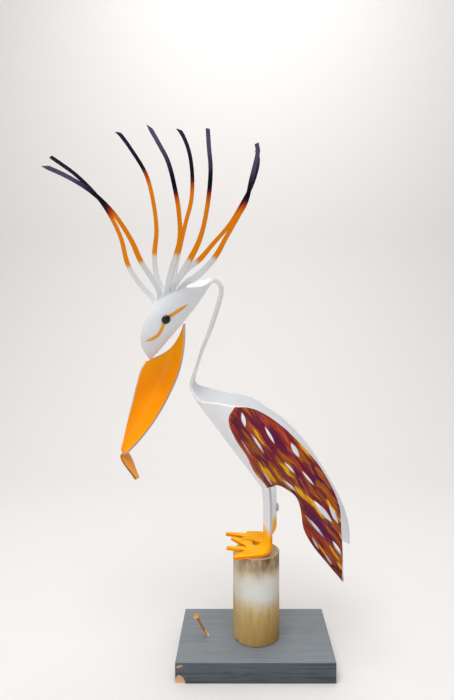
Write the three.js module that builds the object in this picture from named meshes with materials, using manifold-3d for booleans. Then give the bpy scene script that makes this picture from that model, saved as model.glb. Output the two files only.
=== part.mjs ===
// Pelican yard statue, cut and heat-bent from one length of white PVC pipe, on a round wooden post.
// Millimetres, +Z up. The origin is the centre of the board's underside, +X runs toward the tail,
// and +Y toward the bird's far side.
import * as THREE from 'three';
import { mergeVertices } from 'three/addons/utils/BufferGeometryUtils.js';
import Module from 'manifold-3d';

const wasm = await Module();
wasm.setup();

// Driving sizes of the stand
const GAP = 0.3;
const BOARD = { length: 292, width: 184, thick: 38 };
const POST = { x: 3, y: -2, diameter: 91, height: 165.7 };
const postTop = BOARD.thick + GAP + POST.height;

// Driving sizes of the pipe
const PIPE_RADIUS = 78;
const HEAD_RADIUS = 62;
const WALL = 5.5;
const MID_WALL = WALL / 2;
// Distances along the keel, from the tip of the head to the hips and on to the tips of the wings
const HIP = 667;
const TAIL_END = 883;

// Facets flatter than this are merged, and sheets overlap this little where they only touch
const SLIVER = 0.15;
const LAP = 0.02;

// The pipe's lowest line, from the tip of the head over the curl and down the neck and chest
const KEEL = [
  [-206, 3, 579], [-191, 3.5, 594], [-167, 5, 622], [-141.5, 7.5, 652], [-117, 10, 683],
  [-98.5, 12, 710.5], [-89, 13.5, 726], [-83, 14, 731.5], [-76, 14.5, 729], [-70.5, 15, 722],
  [-70, 15.3, 713.5], [-72, 15.6, 703], [-79.5, 16, 677], [-93, 17, 637], [-109, 18, 597],
  [-119, 19, 564.5], [-126, 19.5, 544.5], [-130, 20, 530], [-127, 20.3, 516], [-115.5, 20.6, 496],
  [-81, 17, 451], [-47, 13.3, 406.5], [21, 6, 319], [69.5, 0.8, 256], [118, -4.5, 193], [170, -10, 126],
];

// Each table gives a value at a distance along the keel, with a smooth run between its rows
const YAW = [[0, -6], [190, -8], [260, -14], [330, -9], [400, 0], [455, 6], [900, 6]];
const RADIUS = [[0, HEAD_RADIUS], [150, HEAD_RADIUS], [230, PIPE_RADIUS], [900, PIPE_RADIUS]];
const NEAR_RIM = [
  [0, 4], [5, 33], [10, 51], [23, 68], [48, 83], [73, 91], [97, 95], [110, 90], [123, 85], [139, 78],
  [155, 66], [167, 49], [181, 30], [197, 15], [215, 10.5], [300, 10], [400, 10.5], [430, 14], [445, 22],
  [458, 34], [479, 59], [507, 83], [518, 94], [536, 104], [565, 113], [601, 120], [642, 124], [685, 126],
  [736, 121], [768, 113], [789, 102], [836, 78], [881, 50],
];
const FAR_RIM = [
  [0, 4], [5, 33], [10, 51], [23, 68], [48, 83], [73, 91], [97, 95], [123, 90], [145, 80],
  [167, 64], [187, 42], [197, 22], [215, 10.5], [300, 10], [395, 11], [420, 20], [437, 31],
  [455, 46], [479, 63], [503, 80], [525, 92], [554, 100], [588, 110], [654, 117], [739, 113], [802, 105],
  [845, 94], [873, 81], [881, 74.5],
];
const NEAR_HEM = [
  [666, 44], [668, 60], [685, 70], [705, 74], [731, 67], [766, 50], [801, 44], [840, 46], [883, 49],
];
const FAR_HEM = [
  [666, 44], [668, 60], [685, 68], [705, 71], [731, 66], [766, 54], [801, 50], [840, 57], [883, 72.5],
];

const rad = THREE.MathUtils.degToRad;
const vec = (p) => new THREE.Vector3(...p);

function lookup(table, s) {
  const last = table.length - 1;
  if (s <= table[0][0]) return table[0][1];
  if (s >= table[last][0]) return table[last][1];
  let i = 0;
  while (s > table[i + 1][0]) i += 1;
  const slope = (k) => {
    const a = table[Math.max(k - 1, 0)];
    const b = table[Math.min(k + 1, last)];
    return (b[1] - a[1]) / (b[0] - a[0]);
  };
  const [s0, v0] = table[i];
  const [s1, v1] = table[i + 1];
  const t = (s - s0) / (s1 - s0);
  const run = s1 - s0;
  const ease = t * t * (3 - 2 * t);
  const early = t * (1 - t) * (1 - t) * run * slope(i);
  const late = t * t * (1 - t) * run * slope(i + 1);
  return v0 + (v1 - v0) * ease + early - late;
}

// A smooth line through points, read by distance along it
function smoothLine(points, steps) {
  const curve = new THREE.CatmullRomCurve3(points.map(vec), false, 'centripetal');
  curve.arcLengthDivisions = 1500;
  const dots = curve.getPoints((points.length - 1) * steps);
  const reach = [0];
  for (let i = 1; i < dots.length; i += 1) reach.push(reach[i - 1] + dots[i].distanceTo(dots[i - 1]));
  const total = reach[reach.length - 1];
  const at = (s) => {
    const d = THREE.MathUtils.clamp(s, 0, total);
    let i = 1;
    while (i < reach.length - 1 && reach[i] < d) i += 1;
    const t = (d - reach[i - 1]) / (reach[i] - reach[i - 1]);
    return dots[i - 1].clone().lerp(dots[i], t);
  };
  return { total, at };
}

const keel = smoothLine(KEEL, 24);

// Section frame: along the keel, across to the far side, and up into the trough
function keelFrame(s) {
  const along = keel.at(s + 2).sub(keel.at(s - 2)).normalize();
  const yaw = rad(lookup(YAW, s));
  const across = new THREE.Vector3(Math.sin(yaw), Math.cos(yaw), 0);
  across.addScaledVector(along, -across.dot(along)).normalize();
  return { along, across, up: along.clone().cross(across) };
}

// A point of the pipe's wall: distance along the keel, degrees round from it (minus is the near
// side), and depth below the outer face
function onPipe(s, degrees, depth = MID_WALL) {
  const { across, up } = keelFrame(s);
  const radius = lookup(RADIUS, s);
  const r = radius - depth;
  const a = rad(degrees);
  return keel.at(s).addScaledVector(up, radius - r * Math.cos(a)).addScaledVector(across, r * Math.sin(a));
}

const range = (n) => [...Array(n).keys()];
const mix = (a, b, t) => a + (b - a) * t;

// A sheet of even thickness about a grid of points; rows run one way and columns the other
function thickSheet(rows, thickness) {
  const nr = rows.length;
  const nc = rows[0].length;
  const normal = (i, j) => {
    const du = rows[Math.min(i + 1, nr - 1)][j].clone().sub(rows[Math.max(i - 1, 0)][j]);
    const dv = rows[i][Math.min(j + 1, nc - 1)].clone().sub(rows[i][Math.max(j - 1, 0)]);
    return du.cross(dv).normalize();
  };
  const corners = [];
  for (const side of [0.5, -0.5]) {
    for (const i of range(nr)) {
      for (const j of range(nc)) {
        corners.push(rows[i][j].clone().addScaledVector(normal(i, j), side * thickness));
      }
    }
  }
  const id = (k, i, j) => k * nr * nc + i * nc + j;
  const faces = [];
  const quad = (a, b, c, d) => faces.push(a, b, c, a, c, d);
  for (const i of range(nr - 1)) {
    for (const j of range(nc - 1)) {
      quad(id(0, i, j), id(0, i + 1, j), id(0, i + 1, j + 1), id(0, i, j + 1));
      quad(id(1, i, j), id(1, i, j + 1), id(1, i + 1, j + 1), id(1, i + 1, j));
    }
    quad(id(0, i + 1, 0), id(0, i, 0), id(1, i, 0), id(1, i + 1, 0));
    quad(id(0, i, nc - 1), id(0, i + 1, nc - 1), id(1, i + 1, nc - 1), id(1, i, nc - 1));
  }
  for (const j of range(nc - 1)) {
    quad(id(0, 0, j), id(0, 0, j + 1), id(1, 0, j + 1), id(1, 0, j));
    quad(id(0, nr - 1, j + 1), id(0, nr - 1, j), id(1, nr - 1, j), id(1, nr - 1, j + 1));
  }
  const geometry = new THREE.BufferGeometry();
  const flat = new THREE.Float32BufferAttribute(corners.flatMap((p) => p.toArray()), 3);
  geometry.setAttribute('position', flat);
  geometry.setIndex(faces);
  return solid(geometry);
}

function solid(geometry) {
  geometry.deleteAttribute('normal');
  geometry.deleteAttribute('uv');
  const merged = mergeVertices(geometry, 1e-4);
  const mesh = new wasm.Mesh({
    numProp: 3,
    vertProperties: new Float32Array(merged.attributes.position.array),
    triVerts: new Uint32Array(merged.index.array),
  });
  const made = new wasm.Manifold(mesh);
  if (made.volume() < 0) throw new Error('a solid is inside out');
  return made;
}

function toGeometry(manifold) {
  const mesh = manifold.getMesh();
  const geometry = new THREE.BufferGeometry();
  geometry.setAttribute('position', new THREE.BufferAttribute(new Float32Array(mesh.vertProperties), 3));
  geometry.setIndex([...mesh.triVerts]);
  geometry.computeVertexNormals();
  return geometry;
}

// Runs along the keel and the step of their stations, closer together where the sheet bends hard
const RUNS = [[0, 24, 6], [24, 168, 18], [168, 186, 6], [186, 236, 5.5], [236, 400, 27],
  [400, 520, 12], [520, 660, 23], [660, TAIL_END, 19]];
const SHEET_COLUMNS = 12;

// Rows of points at the given stations, from the near edge round to the far one
function rowsBetween(list, nearEdge, farEdge, columns) {
  return list.map((s) => range(columns + 1)
    .map((j) => onPipe(s, mix(-lookup(nearEdge, s), lookup(farEdge, s), j / columns))));
}

function pipeSheet() {
  const list = [];
  for (const [from, to, step] of RUNS) {
    const count = Math.round((to - from) / step);
    for (const k of range(count)) list.push(mix(from, to, k / count));
  }
  list.push(TAIL_END);
  return thickSheet(rowsBetween(list, NEAR_RIM, FAR_RIM, SHEET_COLUMNS), WALL);
}

// What is cut from the underside behind the hips, which leaves the two wings
const CUT = { start: HIP - 1, shoulder: HIP + 1.5, from: HIP + 7, step: 10, end: TAIL_END + 5, columns: 10 };

function underCut() {
  const list = [CUT.start, CUT.shoulder];
  for (let s = CUT.from; s < CUT.end; s += CUT.step) list.push(s);
  list.push(CUT.end);
  return thickSheet(rowsBetween(list, NEAR_HEM, FAR_HEM, CUT.columns), 5 * WALL);
}

// Feather slots: keel distance, degrees, length, width and slant in degrees; the far wing goes
// without the ones next to its rim
const SLOTS = [
  [534, 81, 28, 8, -24], [584, 77, 46, 5, -4], [586, 97, 36, 5, -7], [636, 112, 30, 9, -7],
  [579, 58, 36, 3, -8], [648, 55, 36, 4, -5], [681, 77, 36, 4.5, 12], [655, 92, 30, 4, 5],
  [690, 103, 34, 4, 3], [753, 92, 52, 9.5, 3], [769, 101, 38, 7, -11], [768, 70, 54, 5.5, 4],
  [796, 53, 28, 5.5, -12], [821, 77, 32, 6, -4], [833, 54, 26, 5, -8],
];

const FAR_SLOTS_BELOW = 80;
const SLOT_STEPS = 4;
const SLOT_END = 0.4;

// A slot is widest at its middle and closes to a saw's width at both ends
function slotCutter([s, degrees, length, width, slant], side) {
  const turn = rad(slant);
  const rows = range(SLOT_STEPS + 1).map((i) => {
    const t = mix(-1, 1, i / SLOT_STEPS);
    const half = Math.max(width * (1 - t * t), SLOT_END) / 2;
    return [-half, half].map((v) => {
      const u = (t * length) / 2;
      const along = u * Math.cos(turn) - v * Math.sin(turn);
      const round = u * Math.sin(turn) + v * Math.cos(turn);
      return onPipe(s + along, side * (degrees + THREE.MathUtils.radToDeg(round / PIPE_RADIUS)));
    });
  });
  return thickSheet(side > 0 ? rows : rows.map((row) => row.reverse()), 4 * WALL);
}

// Crest plumes, each a strip cut from the head's rim: where it leaves the rim, how far its tip
// is cut aslant either way, and points it passes on its way to the tip
const NEAR_PLUMES = [
  { root: 103, width: 12, slant: 5, path: [
    [-178, -57, 707], [-190, -59, 731], [-213, -61, 766], [-231, -63, 806], [-263, -66, 855],
    [-304, -68, 895], [-349, -70, 923], [-394, -72, 943]] },
  { root: 116, width: 12, slant: 5, path: [
    [-165, -57, 715], [-155, -59, 756], [-141, -61, 806], [-142, -63, 854], [-148, -66, 895],
    [-162, -68, 951], [-178, -70, 982], [-199, -72, 1019]] },
  { root: 131, width: 14, slant: 1, path: [
    [-153, -57, 719], [-138, -60, 743], [-105, -62, 804], [-90, -64, 864], [-83, -67, 935],
    [-86, -70, 977], [-88, -72, 1011]] },
  { root: 147, width: 14, slant: 0, path: [
    [-130, -56, 726], [-105, -59, 743], [-75, -61, 775], [-55, -63, 810], [-34, -64, 847],
    [-17, -66, 878], [-8, -68, 916], [5, -70, 975], [2, -72, 983]] },
];
const FAR_PLUMES = [
  { root: 88, width: 12, slant: 1, path: [
    [-207, 64, 695], [-215, 66, 708], [-231, 68, 723], [-264, 71, 771], [-281, 73, 832],
    [-311, 75, 891], [-339, 78, 927], [-379, 80, 966], [-432, 82, 1004]] },
  { root: 106, width: 12, slant: 5, path: [
    [-192, 65, 719], [-204, 67, 750], [-209, 69, 790], [-205, 71, 846], [-212, 73, 906],
    [-227, 75, 963], [-253, 78, 1008], [-285, 80, 1052], [-293, 82, 1058]] },
  { root: 122, width: 13, slant: 5, path: [
    [-173, 66, 726], [-163, 68, 778], [-143, 70, 863], [-132, 72, 908], [-130, 74, 965],
    [-138, 77, 1017], [-153, 79, 1053], [-163, 82, 1065]] },
  { root: 140, width: 14, slant: 0, path: [
    [-159, 66, 741], [-136, 68, 768], [-115, 69, 783], [-86, 71, 817], [-52, 73, 857],
    [-28, 75, 896], [-4, 78, 943], [9, 80, 990], [7, 82, 1018]] },
];
// Width at the tip, the share of the length over which it is reached,
// and how far round the head a plume's root runs below the rim, in degrees
const PLUME = { thick: 5, tipWidth: 8, taper: 0.45, step: 27, rootBelow: 12, leaveBelow: 2 };

function plume({ root, width, slant, path }, side) {
  const rim = side < 0 ? NEAR_RIM : FAR_RIM;
  const edge = lookup(rim, root);
  const start = onPipe(root, side * (edge - PLUME.rootBelow)).toArray();
  const leave = onPipe(root, side * (edge - PLUME.leaveBelow)).toArray();
  const line = smoothLine([start, leave, ...path], 12);
  const count = Math.round(line.total / PLUME.step);
  const rows = range(count + 1).map((i) => {
    const s = (line.total * i) / count;
    const t = i / count;
    const along = line.at(s + 1.5).sub(line.at(s - 1.5)).normalize();
    const outward = new THREE.Vector3(0, side, 0);
    outward.addScaledVector(along, -outward.dot(along)).normalize();
    const across = along.clone().cross(outward);
    const half = mix(width, PLUME.tipWidth, Math.min(1, t / PLUME.taper)) / 2;
    const cut = i === count ? slant : 0;
    return [half, -half].map((w) => line.at(s).addScaledVector(across, w)
      .addScaledVector(along, Math.sign(w) * side * cut - cut));
  });
  return thickSheet(rows, PLUME.thick);
}

// Legs: the strips cut from between the wings, bent down at the hip and forward at the heel.
// Each runs between two angles on the pipe, and its edges come down at two points in plan.
const LEGS = [
  { from: -44, to: -2, nearEdge: [30.5, -38.5], farEdge: [19.5, 4], forward: [-1, 0.02] },
  { from: 2, to: 44, nearEdge: [30.5, 20], farEdge: [45, 62], forward: [-1, 0.1] },
];
const LEG_COLUMNS = 4;
const LEG_ROOT = 5;
const SHANK_TOP = 285;
const HEEL_RADIUS = 22;
const FOOT_STUB = 8;
const footLevel = postTop + GAP + MID_WALL;

function legStrip({ from, to, nearEdge, farEdge, forward }) {
  const ahead = vec([...forward, 0]).normalize();
  const heelTop = footLevel + HEEL_RADIUS;
  const at = range(LEG_COLUMNS + 1).map((j) => {
    const t = j / LEG_COLUMNS;
    const angle = mix(from, to, t);
    const low = new THREE.Vector3(mix(nearEdge[0], farEdge[0], t), mix(nearEdge[1], farEdge[1], t), 0);
    return { angle, hip: onPipe(HIP, angle), low };
  });
  const rows = [at.map(({ angle }) => onPipe(HIP - LEG_ROOT, angle, MID_WALL - LAP))];
  for (const t of [0, 0.3, 0.65, 1]) {
    rows.push(at.map(({ hip, low }) => {
      const ease = t * (2 - t);
      return new THREE.Vector3(mix(hip.x, low.x, ease), mix(hip.y, low.y, t), mix(hip.z, SHANK_TOP, t));
    }));
  }
  for (const t of [0.33, 0.66, 1]) {
    rows.push(at.map(({ low }) => low.clone().setZ(mix(SHANK_TOP, heelTop, t))));
  }
  for (const turn of [22.5, 45, 67.5, 90]) {
    const a = rad(turn);
    rows.push(at.map(({ low }) => low.clone().setZ(heelTop - HEEL_RADIUS * Math.sin(a))
      .addScaledVector(ahead, HEEL_RADIUS * (1 - Math.cos(a)))));
  }
  const end = rows[rows.length - 1];
  rows.push(end.map((p) => p.clone().addScaledVector(ahead, FOOT_STUB)));
  return thickSheet(rows.map((row) => row.reverse()), WALL);
}

// Feet: the outline of each in plan, from the near side of its heel round its three toes
const FEET = [
  [[6, -38.2], [-5, -42], [-38.5, -49.8], [-42, -42.5], [-18.5, -16.5], [-55.7, -4.4],
    [-54.2, 3.4], [-14.8, 0.7], [-47.6, 43.5], [-42.4, 49.5], [-4.8, 27.2], [3, 14], [-4, 4.5]],
  [[6, 22.4], [-3.4, 29.8], [-26.5, 42.4], [-21.5, 48.6], [-4, 44.5], [-58.8, 65.6],
    [-57.2, 73.4], [2, 66], [-15.5, 70.8], [-14.6, 78.3], [17, 77], [20, 64.4]],
];

function foot(outline) {
  const shape = new THREE.Shape(outline.map((point) => new THREE.Vector2(...point)));
  const plate = new THREE.ExtrudeGeometry(shape, { depth: WALL, bevelEnabled: false });
  return solid(plate.translate(0, 0, footLevel - MID_WALL));
}

// The small raised scar on the back of the far shank
const SCAR = { at: [48.5, 60, 267], radius: 4.5, stretch: [0.8, 1, 2] };

function shankScar() {
  return solid(new THREE.SphereGeometry(SCAR.radius, 10, 6).scale(...SCAR.stretch).translate(...SCAR.at));
}

function pelican() {
  let body = pipeSheet().subtract(underCut());
  for (const slot of SLOTS) {
    body = body.subtract(slotCutter(slot, -1));
    if (slot[1] < FAR_SLOTS_BELOW) body = body.subtract(slotCutter(slot, 1));
  }
  for (const one of NEAR_PLUMES) body = body.add(plume(one, -1));
  for (const one of FAR_PLUMES) body = body.add(plume(one, 1));
  for (const one of LEGS) body = body.add(legStrip(one));
  for (const one of FEET) body = body.add(foot(one));
  return body.add(shankScar()).simplify(SLIVER);
}

// The bill: a leaf-shaped scoop of pipe, its hollow to the near side, its end folded to a hook.
// Its two edges from the root down, and how far its top is bowed down the slope of the head.
const BILL_LEFT = [
  [-216, 8, 576], [-225, 8, 560], [-234, 8, 529], [-242, 8, 496], [-252, 8, 458], [-261, 9, 418],
  [-264, 11, 396], [-254, 19, 389], [-231, 9, 342],
];
const BILL_RIGHT = [
  [-139.5, 8, 650], [-140, 8, 611], [-148, 7, 563], [-163, 5, 523], [-192, 2, 468], [-226, -3, 422],
  [-250, -6, 398], [-262, -8, 390], [-234, -3, 343],
];
const BILL_BOW = [15, 9, 3];
const BILL = { thick: 5, curveRadius: 60, deepest: 16, columns: 8, slope: [0.67, 0, -0.74] };

function bill() {
  const last = BILL_LEFT.length - 1;
  const slope = vec(BILL.slope);
  const middle = (i) => vec(BILL_LEFT[i]).lerp(vec(BILL_RIGHT[i]), 0.5);
  const rows = BILL_LEFT.map((leftPoint, i) => {
    const left = vec(leftPoint);
    const chord = vec(BILL_RIGHT[i]).sub(left);
    const along = middle(Math.min(i + 1, last)).sub(middle(Math.max(i - 1, 0)));
    const outward = chord.clone().cross(along).normalize();
    const depth = Math.min(chord.lengthSq() / (8 * BILL.curveRadius), BILL.deepest);
    const bow = BILL_BOW[i] ?? 0;
    return range(BILL.columns + 1).map((j) => {
      const t = j / BILL.columns;
      const bulge = 4 * t * (1 - t);
      return left.clone().addScaledVector(chord, t).addScaledVector(outward, depth * bulge)
        .addScaledVector(slope, bow * bulge);
    });
  });
  return thickSheet(rows.map((row) => row.reverse()), BILL.thick);
}

// Eyes: glossy half-round domes glued to the outer faces of the head
const EYE = { radius: 8.7, height: 6.6, edge: 0.8, steps: 6, sides: 20, at: 81, degrees: 59 };

function eye(side) {
  const dome = [new THREE.Vector2(0, 0), new THREE.Vector2(EYE.radius, 0)];
  for (const i of range(EYE.steps + 1)) {
    const a = rad(mix(0, 90, i / EYE.steps));
    const r = Math.max(EYE.radius * Math.cos(a), 0);
    dome.push(new THREE.Vector2(r, mix(EYE.edge, EYE.height, Math.sin(a))));
  }
  const geometry = new THREE.LatheGeometry(dome, EYE.sides);
  const seat = onPipe(EYE.at, side * EYE.degrees, -GAP);
  const outward = seat.clone().sub(onPipe(EYE.at, side * EYE.degrees, WALL)).normalize();
  const turn = new THREE.Quaternion().setFromUnitVectors(new THREE.Vector3(0, 1, 0), outward);
  geometry.applyQuaternion(turn).translate(...seat.toArray());
  return solid(geometry);
}

// A chip is a small tilted block that takes a bite: its size, its turns in degrees and its place
const POST_CHIP = { size: [9, 9, 9], turn: [0, 29, 34], at: [-35, -29.5, 39.5] };
const BOARD_CHIPS = [
  { size: [28, 10, 30], turn: [20, 0, -29], at: [-141, -93.5, 5] },
  { size: [9, 4, 5], turn: [0, 0, 0], at: [-138, -92.6, 31.5] },
];

function bite({ size, turn, at }) {
  const [rx, ry, rz] = turn.map(rad);
  return solid(new THREE.BoxGeometry(...size).rotateX(rx).rotateY(ry).rotateZ(rz).translate(...at));
}

function post() {
  const radius = POST.diameter / 2;
  const round = new THREE.CylinderGeometry(radius, radius, POST.height, 40);
  round.rotateX(Math.PI / 2).translate(POST.x, POST.y, BOARD.thick + GAP + POST.height / 2);
  return solid(round).subtract(bite(POST_CHIP));
}

// Screw: driven into the board at a lean, with a countersunk head and a round recess in it
const SCREW = { foot: [-93.7, -5.5, 38], head: [-113, -30, 88.7], shaft: 4.6, sunk: 24, point: 8 };
const SCREW_HEAD = { width: 10.4, cone: 5.4, rim: 1.2, recess: 5, recessFloor: 3.6, recessDepth: 2.2 };

function screwSolid(clearance) {
  const foot = vec(SCREW.foot);
  const lean = vec(SCREW.head).sub(foot);
  const reach = lean.length();
  const shaft = SCREW.shaft / 2 + clearance;
  const head = SCREW_HEAD.width / 2 + clearance;
  const floor = reach - SCREW_HEAD.recessDepth;
  const outline = [
    [0, -SCREW.sunk - SCREW.point - clearance], [shaft, -SCREW.sunk], [shaft, reach - SCREW_HEAD.cone],
    [head, reach - SCREW_HEAD.rim], [head, reach], [SCREW_HEAD.recess / 2, reach],
    [SCREW_HEAD.recessFloor / 2, floor], [0, floor],
  ].map(([x, y]) => new THREE.Vector2(x, y));
  const turn = new THREE.Quaternion().setFromUnitVectors(new THREE.Vector3(0, 1, 0), lean.normalize());
  return solid(new THREE.LatheGeometry(outline, 16).applyQuaternion(turn).translate(...SCREW.foot));
}

function board() {
  const { length, width, thick } = BOARD;
  const block = new THREE.BoxGeometry(length, width, thick).translate(0, 0, thick / 2);
  let plank = solid(block);
  for (const one of BOARD_CHIPS) plank = plank.subtract(bite(one));
  return plank.subtract(screwSolid(GAP));
}

function material(colour, roughness, metalness = 0) {
  return new THREE.MeshStandardMaterial({ color: colour, roughness, metalness });
}

const group = new THREE.Group();

function addPiece(name, manifold, look) {
  const mesh = new THREE.Mesh(toGeometry(manifold), look);
  mesh.name = name;
  group.add(mesh);
}

addPiece('base_board', board(), material(0x7c8389, 0.6));
addPiece('post', post(), material(0xb09a78, 0.85));
addPiece('board_screw', screwSolid(0), material(0xc79a3c, 0.35, 0.9));
addPiece('pelican', pelican(), material(0xe8e6e2, 0.35));
addPiece('beak', bill(), material(0xff9a00, 0.4));
addPiece('eye_near', eye(-1), material(0x0a0a10, 0.08));
addPiece('eye_far', eye(1), material(0x0a0a10, 0.08));

export default group;
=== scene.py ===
# %% [markdown]
# # A pelican yard statue, cut and bent from one plastic pipe
# The bird is one length of white drain pipe. Its maker sawed an outline and some slots into it, warmed it,
# bent the strips apart and painted it. It stands on a round post, on a grey plank. The lesson follows the
# maker: a flat pattern is cut first, then rolled into the pipe, and the strips are pulled out of it. The
# frame holds the plain solids that each finished piece stands in for, and the noise is seeded, so the same
# chips break off in every run.

import math

import bmesh
import bpy
from mathutils import Matrix, Vector, noise


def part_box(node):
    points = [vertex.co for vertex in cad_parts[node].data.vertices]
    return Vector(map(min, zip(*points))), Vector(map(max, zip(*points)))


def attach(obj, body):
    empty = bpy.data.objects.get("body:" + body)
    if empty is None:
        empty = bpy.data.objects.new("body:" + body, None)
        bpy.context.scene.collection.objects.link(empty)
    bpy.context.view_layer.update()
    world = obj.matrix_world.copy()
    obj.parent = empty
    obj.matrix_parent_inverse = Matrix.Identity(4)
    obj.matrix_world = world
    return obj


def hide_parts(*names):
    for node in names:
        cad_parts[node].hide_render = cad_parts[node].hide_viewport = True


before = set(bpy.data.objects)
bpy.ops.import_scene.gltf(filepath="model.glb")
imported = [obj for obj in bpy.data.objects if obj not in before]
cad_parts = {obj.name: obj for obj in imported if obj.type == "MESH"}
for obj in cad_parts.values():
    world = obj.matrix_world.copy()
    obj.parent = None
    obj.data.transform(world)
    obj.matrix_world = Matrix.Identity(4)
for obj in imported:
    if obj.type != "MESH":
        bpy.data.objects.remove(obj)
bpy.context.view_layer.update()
NOISE_SEED = 7
noise.seed_set(NOISE_SEED)
print("nodes", sorted(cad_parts))

# %% [markdown]
# ## Camera, light and floor
# The photograph was taken level, from a little over a metre away, with its optical axis beside the middle
# of the picture. A small lens shift gives that frame without tilting the camera, so uprights stay upright.

# %% Camera
PICTURE = (454, 700)
FOCAL_PIXELS = 546
AXIS_PIXEL = (242, 318)
CAMERA_PLACE = (-0.0249, -1.0786, 0.661)

camera_data = bpy.data.cameras.new("camera")
camera_data.sensor_width = 36
camera_data.lens = camera_data.sensor_width * FOCAL_PIXELS / max(PICTURE)
camera_data.shift_x = (PICTURE[0] / 2 - AXIS_PIXEL[0]) / max(PICTURE)
camera_data.shift_y = (AXIS_PIXEL[1] - PICTURE[1] / 2) / max(PICTURE)
camera = bpy.data.objects.new("camera", camera_data)
camera.location = CAMERA_PLACE
camera.rotation_euler = (math.radians(90), 0, 0)
bpy.context.scene.collection.objects.link(camera)
bpy.context.scene.camera = camera
print("lens", round(camera_data.lens, 2), "mm")

# %% [markdown]
# The light is soft and mostly from above, as under a large north window. The world gives an even pale fill,
# a wide lamp hangs in front of the bird and above it, a weak one lifts its underside from the front left,
# and the third is aimed at the backdrop.

# %% Light
FILL_STRENGTH = 0.52
BIRD_MIDDLE = (0, 0, 0.6)
BACKDROP_MIDDLE = (0, 2.4, 0.9)

world = bpy.data.worlds.new("studio")
world.use_nodes = True
sky = world.node_tree.nodes["Background"]
sky.inputs["Color"].default_value = (0.95, 0.97, 1, 1)
sky.inputs["Strength"].default_value = FILL_STRENGTH
bpy.context.scene.world = world
bpy.context.scene.view_settings.view_transform = "Standard"


def area_light(name, place, aim, size, power, colour=(1, 1, 1)):
    data = bpy.data.lights.new(name, "AREA")
    data.shape = "DISK"
    data.size = size
    data.energy = power
    data.color = colour
    light = bpy.data.objects.new(name, data)
    light.location = place
    light.rotation_mode = "QUATERNION"
    light.rotation_quaternion = (Vector(aim) - Vector(place)).to_track_quat("-Z", "Y")
    bpy.context.scene.collection.objects.link(light)
    print(name, power, "watts")


area_light("window", (-0.3, -0.75, 2.75), BIRD_MIDDLE, 1.9, 56)
area_light("reflector", (-1.1, -2.1, 0.4), BIRD_MIDDLE, 1.2, 8)
area_light("backdrop_lamp", (0, 0.8, 3.4), BACKDROP_MIDDLE, 2.0, 40, (1, 0.99, 0.98))

# %% [markdown]
# ## Finishes
# Every finish is a small tree of nodes. The helpers below keep the trees short: each adds one node, wires
# what it is given into it and hands back the output, so a finish reads like a recipe.

# %% Node helpers
def linear(red, green, blue):
    """A colour as a painter reads it off a screen, 0 to 255, made linear for the shader."""
    parts = [c / 255 for c in (red, green, blue)]
    return tuple(c / 12.92 if c < 0.04045 else ((c + 0.055) / 1.055) ** 2.4 for c in parts) + (1.0,)


class Finish:
    """A material and the nodes that make it."""

    def __init__(self, name, roughness=0.5, metallic=0.0, shine=0.5):
        self.material = bpy.data.materials.new(name)
        self.material.use_nodes = True
        self.tree = self.material.node_tree
        self.shader = self.tree.nodes["Principled BSDF"]
        self.shader.inputs["Roughness"].default_value = roughness
        self.shader.inputs["Metallic"].default_value = metallic
        self.shader.inputs["Specular IOR Level"].default_value = shine

    def add(self, kind, values=(), **settings):
        node = self.tree.nodes.new(kind)
        for key, value in settings.items():
            setattr(node, key, value)
        for key, value in dict(values).items():
            if isinstance(value, bpy.types.NodeSocket):
                self.tree.links.new(value, node.inputs[key])
            else:
                node.inputs[key].default_value = value
        return node

    def place(self, scale=(1, 1, 1), source="Object"):
        """Where a point is, in the piece's own metres or on its flat pattern, stretched for a texture."""
        where = self.add("ShaderNodeTexCoord").outputs[source]
        return self.add("ShaderNodeMapping", {"Vector": where, "Scale": scale}).outputs["Vector"]

    def axis(self, vector, letter):
        return self.add("ShaderNodeSeparateXYZ", {"Vector": vector}).outputs[letter]

    def noise(self, where, scale=1.0, detail=4.0, rough=0.55, bend=0.0):
        values = {"Vector": where, "Scale": scale, "Detail": detail, "Roughness": rough, "Distortion": bend}
        return self.add("ShaderNodeTexNoise", values).outputs["Fac"]

    def math(self, kind, a, b=0.0, c=0.0, clamp=False):
        return self.add("ShaderNodeMath", {0: a, 1: b, 2: c}, operation=kind, use_clamp=clamp).outputs[0]

    def times(self, a, b):
        return self.math("MULTIPLY", a, b)

    def scaled(self, value, by, plus, clamp=False):
        return self.math("MULTIPLY_ADD", value, by, plus, clamp)

    def step(self, value, low, high):
        """0 below low, 1 above high, and a soft rise between them."""
        values = {"Value": value, "From Min": low, "From Max": high}
        return self.add("ShaderNodeMapRange", values, interpolation_type="SMOOTHSTEP").outputs["Result"]

    def mix(self, share, a, b):
        """Colour a where share is 0, and b where it is 1. The node's colour sockets are numbers 6 and 7."""
        return self.add("ShaderNodeMix", {0: share, 6: a, 7: b}, data_type="RGBA").outputs[2]

    def ramp(self, value, stops):
        node = self.add("ShaderNodeValToRGB", {"Fac": value})
        band = node.color_ramp
        while len(band.elements) < len(stops):
            band.elements.new(0.5)
        for element, (position, colour) in zip(band.elements, stops):
            element.position = position
            element.color = colour
        return node.outputs["Color"]

    def vector(self, kind, a, b):
        return self.add("ShaderNodeVectorMath", {0: a, 1: b}, operation=kind).outputs[0]

    def attribute(self, name):
        return self.add("ShaderNodeAttribute", attribute_name=name).outputs["Fac"]

    def set(self, colour=None, roughness=None, bump=None, bump_height=0.0002):
        if colour is not None:
            self.tree.links.new(colour, self.shader.inputs["Base Color"])
        if roughness is not None:
            self.tree.links.new(roughness, self.shader.inputs["Roughness"])
        if bump is not None:
            node = self.add("ShaderNodeBump", {"Height": bump, "Strength": 1.0, "Distance": bump_height})
            self.tree.links.new(node.outputs["Normal"], self.shader.inputs["Normal"])
        return self.material


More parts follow.
